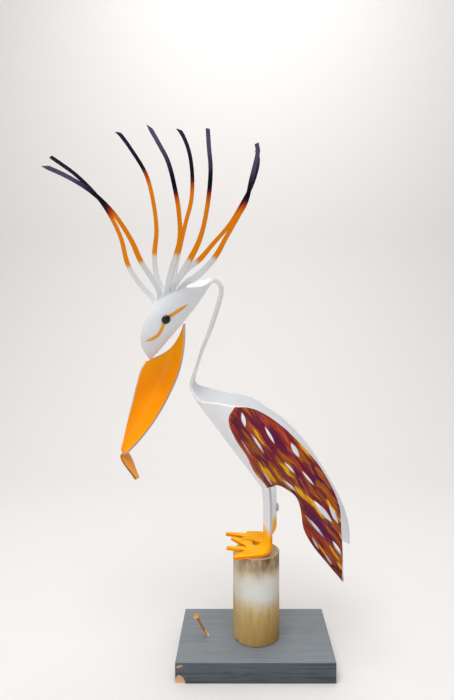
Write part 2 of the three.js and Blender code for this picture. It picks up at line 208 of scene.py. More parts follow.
# %% [markdown]
# ### Bare pipe and sawn edge
# Drain pipe is a smooth, slightly glossy white plastic. Outdoors it picks up a film of grey in soft
# patches. Where it is sawn the cut is duller, with fine marks across it.

# %% Bare pipe
PIPE_WHITE = linear(232, 234, 236)
PIPE_GREY = linear(212, 214, 217)


def bare_pipe():
    """The inside of the pipe: a thin film of grey, and painted shade toward the tips of the wings."""
    finish = Finish("pipe_inside", roughness=0.34, shine=0.3)
    where = finish.place()
    film = finish.step(finish.noise(where, 14, 5, 0.6), 0.35, 0.75)
    shade = finish.mix(finish.times(film, 0.3), PIPE_WHITE, PIPE_GREY)
    along = finish.axis(finish.place(source="UV"), "X")
    # Painted shade: the inside is greyed toward the tail, where the near wall keeps the light off it.
    painted_tail_shade = finish.times(finish.step(along, 0.62, 0.86), 0.6)
    shade = finish.mix(painted_tail_shade, shade, linear(184, 187, 192))
    rough = finish.scaled(finish.noise(where, 60, 3), 0.22, 0.24)
    return finish.set(shade, rough, finish.noise(where, 900, 2), 0.00004)


pipe_inside = bare_pipe()


def sawn_edge():
    finish = Finish("pipe_sawn_edge", roughness=0.55)
    marks = finish.noise(finish.place((900, 250, 900)), 1, 2, 0.6)
    shade = finish.mix(finish.noise(finish.place(), 90, 4), linear(226, 226, 225), linear(196, 196, 198))
    return finish.set(shade, None, marks, 0.00015)


edge_finish = sawn_edge()

# %% [markdown]
# ### The painted wings
# On the real bird the wings are brushed with long strokes that run with the feathers: maroon first, then
# rust, violet and gold. A cell texture stretched along the pipe gives a scatter of long ovals, and each
# cell's random value says whether the brush went there. Several such layers, each with its own size, lie
# over one another as the paint does. The layers read the flat pattern, so they follow the pipe round.

# %% Wing paint
PLUM = linear(98, 18, 48)
MAROON = linear(126, 28, 40)
RUST = linear(168, 62, 14)
VIOLET = linear(66, 18, 80)
OCHRE = linear(164, 92, 6)
GOLD = linear(236, 170, 0)
SHEEN_ROSE = linear(176, 76, 60)
HEAD_GOLD = linear(244, 168, 4)


def brush_layer(finish, where, bristle, below, colour, size, share, seed, cover, reach):
    """Long strokes of one colour over what lies below. The size is a stroke's length and width in
    millimetres, share is how many of the places get one, cover how thick the paint is there, and reach how
    much of its place a stroke fills."""
    shifted = finish.vector("ADD", where, (seed, seed * 0.7, 0))
    stretched = finish.vector("MULTIPLY", shifted, (1000 / size[0], 1000 / size[1], 1))
    cells = finish.add("ShaderNodeTexVoronoi", {"Vector": stretched, "Scale": 1.0}, voronoi_dimensions="2D")
    dry = finish.scaled(bristle, 0.6, -0.3)
    oval = finish.step(finish.math("ADD", cells.outputs["Distance"], dry), reach, reach * 0.75)
    chance = finish.add("ShaderNodeSeparateColor", {"Color": cells.outputs["Color"]}).outputs["Red"]
    painted = finish.step(finish.math("SUBTRACT", share, chance), 0, 0.02)
    thin = finish.scaled(bristle, -2.2, cover + 1.1, clamp=True)
    return finish.mix(finish.times(finish.times(oval, painted), thin), below, colour)


# %% [markdown]
# The outside of the pipe gets these layers inside the wing's painted edge, and one gold stroke through the
# eye. The mesh carries the distance to both as numbers called wing and stroke. The rest stays white.

# %% Outside of the pipe
def pipe_outside():
    finish = Finish("pipe_outside", roughness=0.36, shine=0.15)
    film = finish.step(finish.noise(finish.place(), 14, 5, 0.6), 0.35, 0.8)
    white = finish.mix(finish.times(film, 0.6), PIPE_WHITE, PIPE_GREY)

    flat = finish.place(source="UV")
    along, round_way = finish.axis(flat, "X"), finish.math("ABSOLUTE", finish.axis(flat, "Y"))
    sway = finish.scaled(finish.noise(flat, 18, 2), 0.016, -0.008)
    swayed = {"X": along, "Y": finish.math("ADD", round_way, sway)}
    where = finish.add("ShaderNodeCombineXYZ", swayed).outputs[0]
    bristle = finish.noise(finish.vector("MULTIPLY", where, (24, 480, 1)), 1, 3, 0.6)
    streak = finish.step(bristle, 0.36, 0.64)
    broad = finish.step(finish.noise(finish.vector("MULTIPLY", where, (12, 60, 1)), 1, 2), 0.35, 0.65)
    inside = finish.attribute("wing")
    chest = finish.step(inside, 0.040, 0.004)
    tail = finish.step(along, 0.66, 0.80)
    lit_top = finish.step(round_way, 0.105, 0.150)

    paint = finish.mix(broad, PLUM, MAROON)
    for colour, size, share, seed, cover, reach in (
        (RUST, (72, 14), finish.scaled(tail, 0.2, finish.scaled(chest, 0.4, 0.46)), 0.31, 0.8, 0.6),
        (VIOLET, (80, 11), finish.scaled(tail, 0.3, 0.24), 1.73, 0.8, 0.5),
        (OCHRE, (76, 15), finish.scaled(chest, 0.2, 0.46), 2.41, 0.8, 0.5),
        # Rose strokes are a painted sheen on the wing, thickest toward its top rim.
        (SHEEN_ROSE, (54, 9), finish.scaled(lit_top, 0.3, 0.10), 5.19, 0.45, 0.5),
        (OCHRE, (62, 10), finish.scaled(tail, 0.2, 0.34), 4.83, 0.75, 0.5),
        (PLUM, (66, 7), 0.28, 6.53, 0.75, 0.5),
        (GOLD, (76, 15), 0.34, 2.41, 1.0, 0.24),
        (GOLD, (62, 10), 0.24, 4.83, 1.0, 0.27),
    ):
        paint = brush_layer(finish, where, bristle, paint, colour, size, share, seed, cover, reach)
    paint = finish.mix(finish.times(streak, 0.4), paint, linear(70, 14, 42))
    paint = finish.mix(finish.times(finish.step(bristle, 0.44, 0.30), 0.4), paint, linear(196, 104, 44))
    border = finish.times(finish.step(inside, 0.0065, 0.0020), finish.scaled(streak, -0.5, 1.0))
    paint = finish.mix(border, paint, linear(186, 68, 26))

    ragged = finish.scaled(bristle, 0.004, -0.002)
    covered = finish.step(finish.math("ADD", inside, ragged), -0.0005, 0.0005)
    shade = finish.mix(covered, white, paint)

    ends = finish.times(finish.step(along, 0.021, 0.038), finish.step(along, 0.139, 0.115))
    half = finish.times(ends, finish.scaled(bristle, 0.0030, 0.0046))
    off = finish.math("ABSOLUTE", finish.attribute("stroke"))
    stroke = finish.step(finish.math("SUBTRACT", half, off), 0, 0.0014)
    stroke_tone = finish.mix(finish.step(bristle, 0.42, 0.62), HEAD_GOLD, linear(222, 136, 0))
    shade = finish.mix(finish.times(stroke, 0.96), shade, stroke_tone)

    rough = finish.scaled(bristle, 0.3, 0.25)
    return finish.set(shade, rough, finish.times(bristle, covered), 0.0003)


outside_finish = pipe_outside()

# %% [markdown]
# ### Plumes, legs and feet
# The crest fades from bare pipe through orange and dark red to a violet that is almost black. Each plume
# changes at its own height, so the mesh carries a number called stage: 0 at the root, 1 where orange
# starts, 2 where it turns dark and 3 at the tip. One colour band on that number suits all eight.

# %% Plume paint
PLUME_ORANGE = linear(206, 118, 0)
PLUME_DARK = linear(8, 4, 20)


def plume_paint(name, sheen_share):
    """The second argument is how much of the dark end gets a painted violet-grey sheen."""
    finish = Finish(name, roughness=0.35, shine=0.07)
    where = finish.place()
    mottle = finish.noise(where, 60, 4)
    grit = finish.scaled(mottle, 0.08, -0.04)
    stage = finish.math("DIVIDE", finish.math("ADD", finish.attribute("stage"), grit), 3.0)
    shade = finish.ramp(stage, [
        (0.0, PIPE_GREY), (0.1, linear(200, 202, 205)), (0.312, linear(194, 193, 190)),
        (0.338, PLUME_ORANGE), (0.60, linear(202, 112, 0)), (0.645, linear(160, 56, 6)),
        (0.668, linear(70, 16, 20)), (0.69, PLUME_DARK), (1.0, linear(24, 18, 40)),
    ])
    # Painted highlight: a mottled violet-grey sheen over the dark end.
    painted_sheen = finish.times(finish.step(stage, 0.73, 0.90), finish.scaled(mottle, 0.8, 0.4))
    shade = finish.mix(finish.times(painted_sheen, sheen_share), shade, linear(98, 84, 112))
    rough = finish.scaled(mottle, 0.25, 0.3)
    return finish.set(shade, rough, finish.noise(where, 500, 3), 0.0001)


# The outside gets most of the painted sheen, the inside almost none.
plume_outside, plume_inside = plume_paint("plume_outside", 0.75), plume_paint("plume_inside", 0.06)

# %% [markdown]
# The legs are bare above the shin and sprayed yellow-orange below it, with a soft edge between. The feet
# are the same colour, thick and glossy, with a few rubbed marks. Their cut edges are painted a greyer white
# and a deeper orange: painted shade.

# %% Leg paint
FADE_TOP = 0.262
FADE_FOOT = 0.240
FOOT_YELLOW = linear(255, 190, 0)
FOOT_ORANGE = linear(255, 166, 0)


def leg_paint(name, white, tone):
    finish = Finish(name, roughness=0.35, shine=0.07)
    where = finish.place()
    height = finish.axis(where, "Z")
    drift = finish.scaled(finish.noise(where, 120, 3), 0.012, -0.006)
    sprayed = finish.step(finish.math("ADD", height, drift), FADE_TOP, FADE_FOOT)
    mottle = finish.noise(where, 45, 3)
    tone = finish.mix(finish.step(mottle, 0.4, 0.7), tone, FOOT_ORANGE)
    rubbed = finish.step(finish.noise(where, 150, 2), 0.76, 0.80)
    tone = finish.mix(finish.times(rubbed, 0.6), tone, linear(168, 104, 20))
    shade = finish.mix(sprayed, white, tone)
    rough = finish.scaled(finish.noise(where, 80, 3), 0.2, 0.4)
    return finish.set(shade, rough, finish.noise(where, 420, 3), 0.00012)


leg_finish = leg_paint("leg_paint", PIPE_WHITE, FOOT_YELLOW)
# Painted shade: the cut edges are a greyer white and a deeper orange than the faces.
shaded_leg_edge = leg_paint("leg_edge_painted_shade", linear(186, 188, 194), linear(244, 128, 0))

# %% [markdown]
# ## The pelican: one sheet of pipe
# A pipe that is slit open is a flat sheet. Its long way is the distance along the keel, the pipe's lowest
# line, and its short way is the arc round from it. The sizes below are the maker's marking-out, in
# millimetres and degrees. The keel is a list of places. Every other table pairs a distance along the keel
# with a value there: the pipe's yaw and radius, how far the sheet reaches round it, and the wings' hems.

# %% Marking-out
MM = 0.001
PIPE_RADIUS = 78
HEAD_RADIUS = 62
WALL = 5.5
HIP = 666
TAIL_END = 883

KEEL = [
    (-206, 3, 579), (-191, 3.5, 594), (-167, 5, 622), (-141.5, 7.5, 652), (-117, 10, 683),
    (-98.5, 12, 710.5), (-89, 13.5, 726), (-83, 14, 731.5), (-76, 14.5, 729), (-70.5, 15, 722),
    (-70, 15.3, 713.5), (-72, 15.6, 703), (-79.5, 16, 677), (-93, 17, 637), (-109, 18, 597),
    (-119, 19, 564.5), (-126, 19.5, 544.5), (-130, 20, 530), (-127, 20.3, 516), (-115.5, 20.6, 496),
    (-81, 17, 451), (-47, 13.3, 406.5), (21, 6, 319), (69.5, 0.8, 256), (118, -4.5, 193), (170, -10, 126),
]
YAW = [(0, -6), (190, -8), (260, -14), (330, -9), (400, 0), (455, 6), (900, 6)]
RADIUS = [(0, HEAD_RADIUS), (150, HEAD_RADIUS), (230, PIPE_RADIUS), (900, PIPE_RADIUS)]
NEAR_RIM = [
    (0, 4), (5, 33), (10, 51), (23, 68), (48, 83), (73, 91), (97, 95), (110, 90), (123, 85), (139, 78),
    (155, 66), (167, 49), (181, 30), (197, 15), (215, 10.5), (300, 10), (400, 10.5), (430, 14), (445, 22),
    (458, 34), (479, 59), (507, 83), (518, 94), (536, 104), (565, 113), (601, 120), (642, 124), (685, 126),
    (736, 121), (768, 113), (789, 102), (836, 78), (881, 50),
]
FAR_RIM = [
    (0, 4), (5, 33), (10, 51), (23, 68), (48, 83), (73, 91), (97, 95), (123, 90), (145, 80),
    (167, 64), (187, 42), (197, 22), (215, 10.5), (300, 10), (395, 11), (420, 20), (437, 31),
    (455, 46), (479, 63), (503, 80), (525, 92), (554, 100), (588, 110), (654, 117), (739, 113), (802, 105),
    (845, 94), (873, 81), (881, 74.5),
]
NEAR_HEM = [
    (666, 44), (668, 60), (685, 70), (705, 74), (731, 67), (766, 50), (801, 44), (840, 46), (883, 49),
]
FAR_HEM = [
    (666, 44), (668, 60), (685, 68), (705, 71), (731, 66), (766, 54), (801, 50), (840, 57), (883, 72.5),
]
print("marked out to", TAIL_END, "mm")

# %% [markdown]
# Between two rows of a table the value has to run smoothly. It takes a soft step from one to the other, bent
# so that it leaves and arrives with the slope of the rows around it.

# %% Reading a table
def mix(a, b, t):
    return a + (b - a) * t


def soft(t):
    """A share from 0 to 1 that starts and ends slowly."""
    return t * t * (3 - 2 * t)


def lookup(table, s):
    """The value at a distance along the keel, with a smooth run between the table's rows."""
    if s <= table[0][0]:
        return table[0][1]
    if s >= table[-1][0]:
        return table[-1][1]
    i = 0
    while s > table[i + 1][0]:
        i += 1

    def slope(k):
        before = table[max(k - 1, 0)]
        after = table[min(k + 1, len(table) - 1)]
        return (after[1] - before[1]) / (after[0] - before[0])

    (s0, v0), (s1, v1) = table[i], table[i + 1]
    run = s1 - s0
    t = (s - s0) / run
    leave, arrive = t * (1 - t) ** 2 * run * slope(i), t * t * (1 - t) * run * slope(i + 1)
    return mix(v0, v1, soft(t)) + leave - arrive


print("reach round the pipe at the hips", round(lookup(NEAR_RIM, HIP)), "degrees")

# %% [markdown]
# Rolling the sheet needs the keel as a smooth line through its points, read by distance. A spline that
# spaces its knots by the root of the chord never loops or overshoots, even in the tight curl at the nape.

# %% A smooth line read by distance
class SmoothLine:
    """A curve through points, kept as many short straight steps and how far each lies from the start."""

    def __init__(self, points, steps=24):
        knots = [Vector(p) for p in points]
        knots = [knots[0] * 2 - knots[1]] + knots + [knots[-1] * 2 - knots[-2]]
        self.dots = []
        for i in range(len(points) - 1):
            p0, p1, p2, p3 = knots[i:i + 4]
            k0, k1, k2 = ((b - a).length ** 0.5 for a, b in ((p0, p1), (p1, p2), (p2, p3)))
            leave = ((p1 - p0) / k0 - (p2 - p0) / (k0 + k1) + (p2 - p1) / k1) * k1
            arrive = ((p2 - p1) / k1 - (p3 - p1) / (k1 + k2) + (p3 - p2) / k2) * k1
            for n in range(steps):
                t = n / steps
                bend = 3 * (p2 - p1) - 2 * leave - arrive
                self.dots.append(p1 + leave * t + bend * t * t + (2 * (p1 - p2) + leave + arrive) * t ** 3)
        self.dots.append(knots[-2])
        self.reach = [0.0]
        for a, b in zip(self.dots, self.dots[1:]):
            self.reach.append(self.reach[-1] + (b - a).length)
        self.total = self.reach[-1]
        self.knot_reach = self.reach[::steps]

    def at(self, s):
        s = min(max(s, 0.0), self.total)
        low, high = 0, len(self.reach) - 1
        while high - low > 1:
            middle = (low + high) // 2
            low, high = (middle, high) if self.reach[middle] < s else (low, middle)
        t = (s - self.reach[low]) / (self.reach[high] - self.reach[low])
        return self.dots[low].lerp(self.dots[high], t)

    def heading(self, s, reach):
        return (self.at(s + reach) - self.at(s - reach)).normalized()


keel = SmoothLine(KEEL)


def square_to(along, way):
    """What is left of a direction when it is made square to another."""
    return (way - along * way.dot(along)).normalized()


def on_pipe(s, angle, depth=WALL / 2):
    """A point of the pipe's wall in millimetres; angle is in radians from the keel, minus is near."""
    along = keel.heading(s, 2)
    yaw = math.radians(lookup(YAW, s))
    across = square_to(along, Vector((math.sin(yaw), math.cos(yaw), 0)))
    up = along.cross(across)
    radius = lookup(RADIUS, s)
    r = radius - depth
    return keel.at(s) + up * (radius - r * math.cos(angle)) + across * (r * math.sin(angle))


print("keel", round(keel.total), "mm long")

# %% [markdown]
# The eight plumes are strips that stay joined to the head's rim. Each is listed with its side (-1 is near),
# where it leaves the rim, its width there, the points it passes, the points at which its paint turns orange
# and dark, and how far its end is cut on a slant.

# %% Plumes
PLUMES = [
    {"side": -1, "root": 103, "width": 12, "orange": 2.0, "dark": 4.25, "slant": 5,
     "path": [(-178, -57, 707), (-190, -59, 731), (-213, -61, 766), (-231, -63, 806),
              (-263, -66, 855), (-304, -68, 895), (-349, -70, 923), (-394, -72, 943)]},
    {"side": -1, "root": 116, "width": 12, "orange": 1.5, "dark": 3.95, "slant": 5,
     "path": [(-165, -57, 715), (-155, -59, 756), (-141, -61, 806), (-142, -63, 854),
              (-148, -66, 895), (-162, -68, 951), (-178, -70, 982), (-199, -72, 1019)]},
    {"side": -1, "root": 131, "width": 14, "orange": 1.45, "dark": 3.45, "slant": 1,
     "path": [(-153, -57, 719), (-138, -60, 743), (-105, -62, 804), (-90, -64, 864),
              (-83, -67, 935), (-86, -70, 977), (-88, -72, 1011)]},
    {"side": -1, "root": 147, "width": 14, "orange": 2.0, "dark": 4.95, "slant": 0,
     "path": [(-130, -56, 726), (-105, -59, 743), (-75, -61, 775), (-55, -63, 810),
              (-34, -64, 847), (-17, -66, 878), (-8, -68, 916), (5, -70, 975), (2, -72, 983)]},
    {"side": 1, "root": 88, "width": 12, "orange": 3.0, "dark": 4.9, "slant": 1,
     "path": [(-207, 64, 695), (-215, 66, 708), (-231, 68, 723), (-264, 71, 771),
              (-281, 73, 832), (-311, 75, 891), (-339, 78, 927), (-379, 80, 966), (-432, 82, 1004)]},
    {"side": 1, "root": 106, "width": 12, "orange": 2.1, "dark": 5.2, "slant": 5,
     "path": [(-192, 65, 719), (-204, 67, 750), (-209, 69, 790), (-205, 71, 846),
              (-212, 73, 906), (-227, 75, 963), (-253, 78, 1008), (-285, 80, 1052), (-293, 82, 1058)]},
    {"side": 1, "root": 122, "width": 13, "orange": 1.25, "dark": 3.75, "slant": 5,
     "path": [(-173, 66, 726), (-163, 68, 778), (-143, 70, 863), (-132, 72, 908),
              (-130, 74, 965), (-138, 77, 1017), (-153, 79, 1053), (-163, 82, 1065)]},
    {"side": 1, "root": 140, "width": 14, "orange": 1.85, "dark": 5.1, "slant": 0,
     "path": [(-159, 66, 741), (-136, 68, 768), (-115, 69, 783), (-86, 71, 817),
              (-52, 73, 857), (-28, 75, 896), (-4, 78, 943), (9, 80, 990), (7, 82, 1018)]},
]
print(len(PLUMES), "plumes")

# %% [markdown]
# ### Step 1: lay out the flat pattern
# A grid is the sheet. Its rows are sawn closer where the pipe bends hard, and rows fall exactly where a
# plume starts and ends. Its columns follow the rims and, behind the hips, the hems of the wings.

# %% The flat pattern
WING_COLUMNS = 14
LEG_COLUMNS = 7
LEG_SPAN = 44
LEG_GAP = 2
COLUMNS = 2 * WING_COLUMNS + 2 * LEG_COLUMNS + 1
NEAR_HEM_COLUMN = WING_COLUMNS
FAR_HEM_COLUMN = COLUMNS - WING_COLUMNS
ROW_RUNS = [(0, 24, 2.5), (24, 168, 5), (168, 240, 2.4), (240, 400, 7), (400, 520, 4), (520, TAIL_END, 5.5)]
ROW_CLEARANCE = 1.6


def pattern_rows():
    """The rows' distances: evenly spaced in each run, but none that crowds a fixed one."""
    fixed = {0, HIP, HIP + 2, TAIL_END}
    for plume in PLUMES:
        fixed |= {plume["root"] - plume["width"] / 2, plume["root"] + plume["width"] / 2}
    rows = set(fixed)
    for start, end, step in ROW_RUNS:
        count = round((end - start) / step)
        spaced = [mix(start, end, k / count) for k in range(count)]
        rows |= {s for s in spaced if min(abs(s - f) for f in fixed) > ROW_CLEARANCE}
    return sorted(rows)


def column_angle(s, j):
    """Degrees round from the keel of column j, at a distance s."""
    near_rim, far_rim = -lookup(NEAR_RIM, s), lookup(FAR_RIM, s)
    if s > HIP:
        near_hem, far_hem = -lookup(NEAR_HEM, s), lookup(FAR_HEM, s)
    else:
        near_hem, far_hem = max(-LEG_SPAN, near_rim / 2), min(LEG_SPAN, far_rim / 2)
    near_gap, far_gap = near_hem * LEG_GAP / LEG_SPAN, far_hem * LEG_GAP / LEG_SPAN
    if j <= NEAR_HEM_COLUMN:
        return mix(near_rim, near_hem, j / WING_COLUMNS)
    if j >= FAR_HEM_COLUMN:
        return mix(far_hem, far_rim, (j - FAR_HEM_COLUMN) / WING_COLUMNS)
    if j <= NEAR_HEM_COLUMN + LEG_COLUMNS:
        return mix(near_hem, near_gap, (j - NEAR_HEM_COLUMN) / LEG_COLUMNS)
    return mix(far_gap, far_hem, (j - NEAR_HEM_COLUMN - LEG_COLUMNS - 1) / LEG_COLUMNS)


rows = pattern_rows()
sheet = bmesh.new()
row_of, column_of, sawn = (sheet.verts.layers.int.new(name) for name in ("row", "column", "sawn"))
wing, stage, stroke = (sheet.verts.layers.float.new(name) for name in ("wing", "stage", "stroke"))
flat = sheet.verts.layers.float_vector.new("flat")
bmesh.ops.create_grid(sheet, x_segments=len(rows) - 1, y_segments=COLUMNS, size=0.5)
corner = {}
for vert in sheet.verts:
    i = round((vert.co.x + 0.5) * (len(rows) - 1))
    j = round((vert.co.y + 0.5) * COLUMNS)
    vert[row_of], vert[column_of], corner[i, j] = i, j, vert
    vert.co = (rows[i], math.radians(column_angle(rows[i], j)) * PIPE_RADIUS, 0)
print("pattern", len(rows), "rows by", COLUMNS + 1, "columns")

# %% [markdown]
# ### Step 2: saw out the underside and the feather slots
# The space between the wings, behind the hips, comes out whole. The legs will grow from its front edge.

# %% Underside
hip_row = rows.index(HIP)


def is_waste(face):
    i, j = (sum(vert[layer] for vert in face.verts) / len(face.verts) for layer in (row_of, column_of))
    return i > hip_row and NEAR_HEM_COLUMN < j < FAR_HEM_COLUMN


waste = [face for face in sheet.faces if is_waste(face)]
bmesh.ops.delete(sheet, geom=waste, context="FACES")
print("sawn out", len(waste), "faces")

# %% [markdown]
# A feather slot is a leaf shape. Each row has its distance, its degrees round the pipe, its length, width
# and slant. The outline is sawn with short straight cuts, each only through what still lies inside the
# earlier ones, and what is left in the middle drops out. The far wing has only the lower slots.

# %% Feather slots
SLOTS = [
    (534, 81, 28, 8, -24), (584, 77, 46, 5, -4), (586, 97, 36, 5, -7), (636, 112, 30, 9, -7),
    (579, 58, 36, 3, -8), (648, 55, 36, 4, -5), (681, 77, 36, 4.5, 12), (655, 92, 30, 4, 5),
    (690, 103, 34, 4, 3), (753, 92, 52, 9.5, 3), (769, 101, 38, 7, -11), (768, 70, 54, 5.5, 4),
    (796, 53, 28, 5.5, -12), (821, 77, 32, 6, -4), (833, 54, 26, 5, -8),
]
FAR_SLOTS_BELOW = 80
SLOT_STEPS = 8
SLOT_END = 0.4


def slot_outline(slot, side):
    """The leaf's outline on the flat pattern, one way round."""
    s, degrees, length, width, slant = slot
    turn = math.radians(slant)

    def point(t, edge):
        u, v = t * length / 2, edge * max(width * (1 - t * t), SLOT_END) / 2
        along, arc = u * math.cos(turn) - v * math.sin(turn), u * math.sin(turn) + v * math.cos(turn)
        return Vector((s + along, side * (math.radians(degrees) * PIPE_RADIUS + arc), 0))

    steps = [mix(-1, 1, k / SLOT_STEPS) for k in range(SLOT_STEPS + 1)]
    ring = [point(t, -1) for t in steps] + [point(t, 1) for t in reversed(steps)]
    return ring if side > 0 else ring[::-1]


def saw_slot(bm, outline, margin=5):
    low = Vector([min(p[k] for p in outline) - margin for k in range(2)])
    high = Vector([max(p[k] for p in outline) + margin for k in range(2)])

    def near(face):
        middle = face.calc_center_median()
        return low.x < middle.x < high.x and low.y < middle.y < high.y

    inside = [face for face in bm.faces if near(face)]
    for a, b in zip(outline, outline[1:] + outline[:1]):
        outward = Vector(((b - a).y, -(b - a).x, 0)).normalized()
        parts = set(inside) | {e for f in inside for e in f.edges} | {v for f in inside for v in f.verts}
        cut = bmesh.ops.bisect_plane(bm, geom=list(parts), dist=1e-5, plane_co=a, plane_no=outward)
        faces = [part for part in cut["geom"] if isinstance(part, bmesh.types.BMFace)]
        inside = [face for face in faces if (face.calc_center_median() - a).dot(outward) < 0]
    rim = {vert for face in inside for vert in face.verts}
    for vert in rim:
        vert[sawn] = 1
    bmesh.ops.delete(bm, geom=inside, context="FACES")


for slot in SLOTS:
    saw_slot(sheet, slot_outline(slot, -1))
    if slot[1] < FAR_SLOTS_BELOW:
        saw_slot(sheet, slot_outline(slot, 1))
print("near wing", len(SLOTS), "slots; faces now", len(sheet.faces))

# %% [markdown]
# ### Step 3: roll the sheet into the pipe
# Each corner of the flat pattern moves to its place on the pipe's wall. Before that its flat place is
# kept, because the paint is laid on it, and so are its distance inside the painted edge of the wing and its
# distance from the brush stroke through the eye.

# %% Roll
PAINT_EDGE = [
    (480, 130), (500, 100), (506, 83), (513, 67), (532, 56), (562, 50), (595, 48), (626, 39),
    (660, 41), (666, 40), (700, 30), (900, 20),
]
HEAD_STROKE = [(10, 70), (28, 59), (50, 49), (70, 55), (81, 59), (105, 52), (130, 43), (150, 36)]
HEAD_END = 180
NO_STROKE = 1


def beyond(table, s, arc):
    """How far round the pipe an arc lies past the table's line, in metres."""
    return (abs(arc) - math.radians(lookup(table, s)) * PIPE_RADIUS) * MM


for vert in sheet.verts:
    s, arc = vert.co.x, vert.co.y
    vert[flat] = Vector((s, arc, 0)) * MM
    vert[wing] = beyond(PAINT_EDGE, s, arc)
    vert[stroke] = beyond(HEAD_STROKE, s, arc) if s < HEAD_END else NO_STROKE
    vert.co = on_pipe(s, arc / PIPE_RADIUS)
print("rolled", len(sheet.verts), "corners")

# %% [markdown]
# ### Step 4: pull out the plumes
# A strip grows from a row of corners: their edges are extruded, and the new corners are set in their
# places. They keep the paint numbers of the old ones, apart from their flat place and their stage.

# %% Growing a strip
def grow(row, places, stages, material):
    """Extrudes a row of corners by one step and returns the new row."""
    edges = [sheet.edges.get((a, b)) for a, b in zip(row, row[1:])]
    made = bmesh.ops.extrude_edge_only(sheet, edges=edges)["geom"]
    fresh = {part for part in made if isinstance(part, bmesh.types.BMVert)}
    for face in (part for part in made if isinstance(part, bmesh.types.BMFace)):
        face.material_index = material
    new_row = []
    for old, place in zip(row, places):
        new = next(edge.other_vert(old) for edge in old.link_edges if edge.other_vert(old) in fresh)
        step = (place - old.co).length * MM
        new.co, new[stage] = place, stages
        new[flat] = old[flat] + Vector((step, 0, 0))
        new_row.append(new)
    return new_row


# %% [markdown]
# Each plume's line starts inside the head's wall, so the strip leaves the rim in the wall's own direction.
# Its rows lie along the rim at first and turn across the line as it gets free. The strip narrows toward its
# tip, and its end is cut on a slant.

# %% Plume strips
PLUME, LEG = 3, 6
ROOT_DEPTH, RIM_DEPTH = 12, 2
RIM_CLEARANCE = 8
PLUME_STEP = 9
LAST_STEP = 13
PLUME_TIP_WIDTH = 8
PLUME_TAPER = 0.45
PLUME_TURN = 26
SLANT_NARROWING = 0.08


def plume_strip(plume):
    """Grows one plume and returns the length of its line."""
    side = plume["side"]
    rim = lookup(NEAR_RIM if side < 0 else FAR_RIM, plume["root"])
    start = on_pipe(plume["root"], side * math.radians(rim - ROOT_DEPTH))
    leave = on_pipe(plume["root"], side * math.radians(rim - RIM_DEPTH))
    line = SmoothLine([start, leave] + plume["path"], 12)
    column = 0 if side < 0 else COLUMNS
    first, last = (rows.index(plume["root"] + k * plume["width"] / 2) for k in (-1, 1))
    row = [corner[i, column] for i in range(first, last + 1)]
    share = [mix(-1, 1, (rows[i] - rows[first]) / plume["width"]) for i in range(first, last + 1)]

    def knot(index):
        whole = int(index) + 2
        return mix(line.knot_reach[whole], line.knot_reach[whole + 1], index - int(index))

    marks = [0, knot(plume["orange"]), knot(plume["dark"]), line.total]
    rim_way = (row[-1].co - row[0].co).normalized()
    begin = line.knot_reach[1] + RIM_CLEARANCE
    count = round((line.total - begin) / PLUME_STEP)
    for n in range(count + 1):
        d = mix(begin, line.total - LAST_STEP, n / (count - 1)) if n < count else line.total
        along = line.heading(d, 1.5)
        across = along.cross(square_to(along, Vector((0, side, 0)))) * -side
        across = rim_way.lerp(across, soft(min(1, (d - begin) / PLUME_TURN))).normalized()
        half = mix(plume["width"], PLUME_TIP_WIDTH, min(1, d / line.total / PLUME_TAPER)) / 2
        slant = plume["slant"] if n == count else 0
        half *= 1 - SLANT_NARROWING * slant
        places = [line.at(d) + across * (half * w) + along * slant * (-w - 1) for w in share]
        band = next(k for k in range(3) if d <= marks[k + 1] + 1e-6)
        here = band + (d - marks[band]) / (marks[band + 1] - marks[band])
        row = grow(row, places, here, PLUME)
    return line.total


print("plumes", [round(plume_strip(plume)) for plume in PLUMES], "mm long")

# %% [markdown]
# ### Step 5: bend down the legs and spread the toes
# Each leg is the strip left between the wings. It bends straight down at the hip, comes flat, turns
# forward over a round heel, spreads to the web's line and splits into three toes that taper to a blunt end.
# The places are x and y in millimetres; the soles lie a hair above the post.

# %% Legs
POST_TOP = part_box("post")[1].z / MM
FOOT_GAP = 0.3
FOOT_LEVEL = POST_TOP + FOOT_GAP + WALL / 2
SHANK_TOP = 285
HEEL_RADIUS = 22
LEGS = [
    {"first": NEAR_HEM_COLUMN, "near": (30.5, -38.5), "far": (19.5, 4), "ahead": (-1, 0.02),
     "web": [(-5, -42), (-18.5, -16.5), (-14.8, 0.7), (-4.8, 27.2)],
     "tips": [(-40.2, -46.1), (-55, -0.5), (-45, 46.5)]},
    {"first": NEAR_HEM_COLUMN + LEG_COLUMNS + 1, "near": (30.5, 20), "far": (45, 62), "ahead": (-1, 0.1),
     "web": [(-3.4, 29.8), (-4, 44.5), (2, 66), (17, 77)],
     "tips": [(-24, 45.5), (-58, 69.5), (-15, 74.5)]},
]
TOE_SPLIT = [(0, 2), (2, 5), (5, 7)]
TOE_TIP = 8
THIGH_STEPS = (0.08, 0.2, 0.35, 0.5, 0.65, 0.8, 0.9, 1.0)
EVEN_STEPS = (0.2, 0.4, 0.6, 0.8, 1.0)
WEB_STEPS = (0.35, 0.7, 1.0)
HEEL_TURNS = (15, 30, 45, 60, 75, 90)
print("soles at", round(POST_TOP + FOOT_GAP, 1), "mm")

# %% [markdown]
# A row grows toward its ends in a few steps. Down the thigh it eases from the hip's arc to a flat strip.
# The shank goes straight down, and the heel turns through a quarter circle before the foot spreads.

# %% Bending a leg
def stretch(row, ends, steps):
    """Grows a row in steps along straight lines to its ends."""
    roots = [vert.co.copy() for vert in row]
    for t in steps:
        row = grow(row, [root.lerp(end, t) for root, end in zip(roots, ends)], 0, LEG)
    return row


def toe_strip(row, tip):
    along = (tip - (row[0].co + row[-1].co) / 2).normalized()
    across = Vector((along.y, -along.x, 0)) * TOE_TIP / 2
    if across.dot(row[0].co - row[-1].co) < 0:
        across = -across
    stretch(row, [tip + across * mix(1, -1, k / (len(row) - 1)) for k in range(len(row))], EVEN_STEPS)


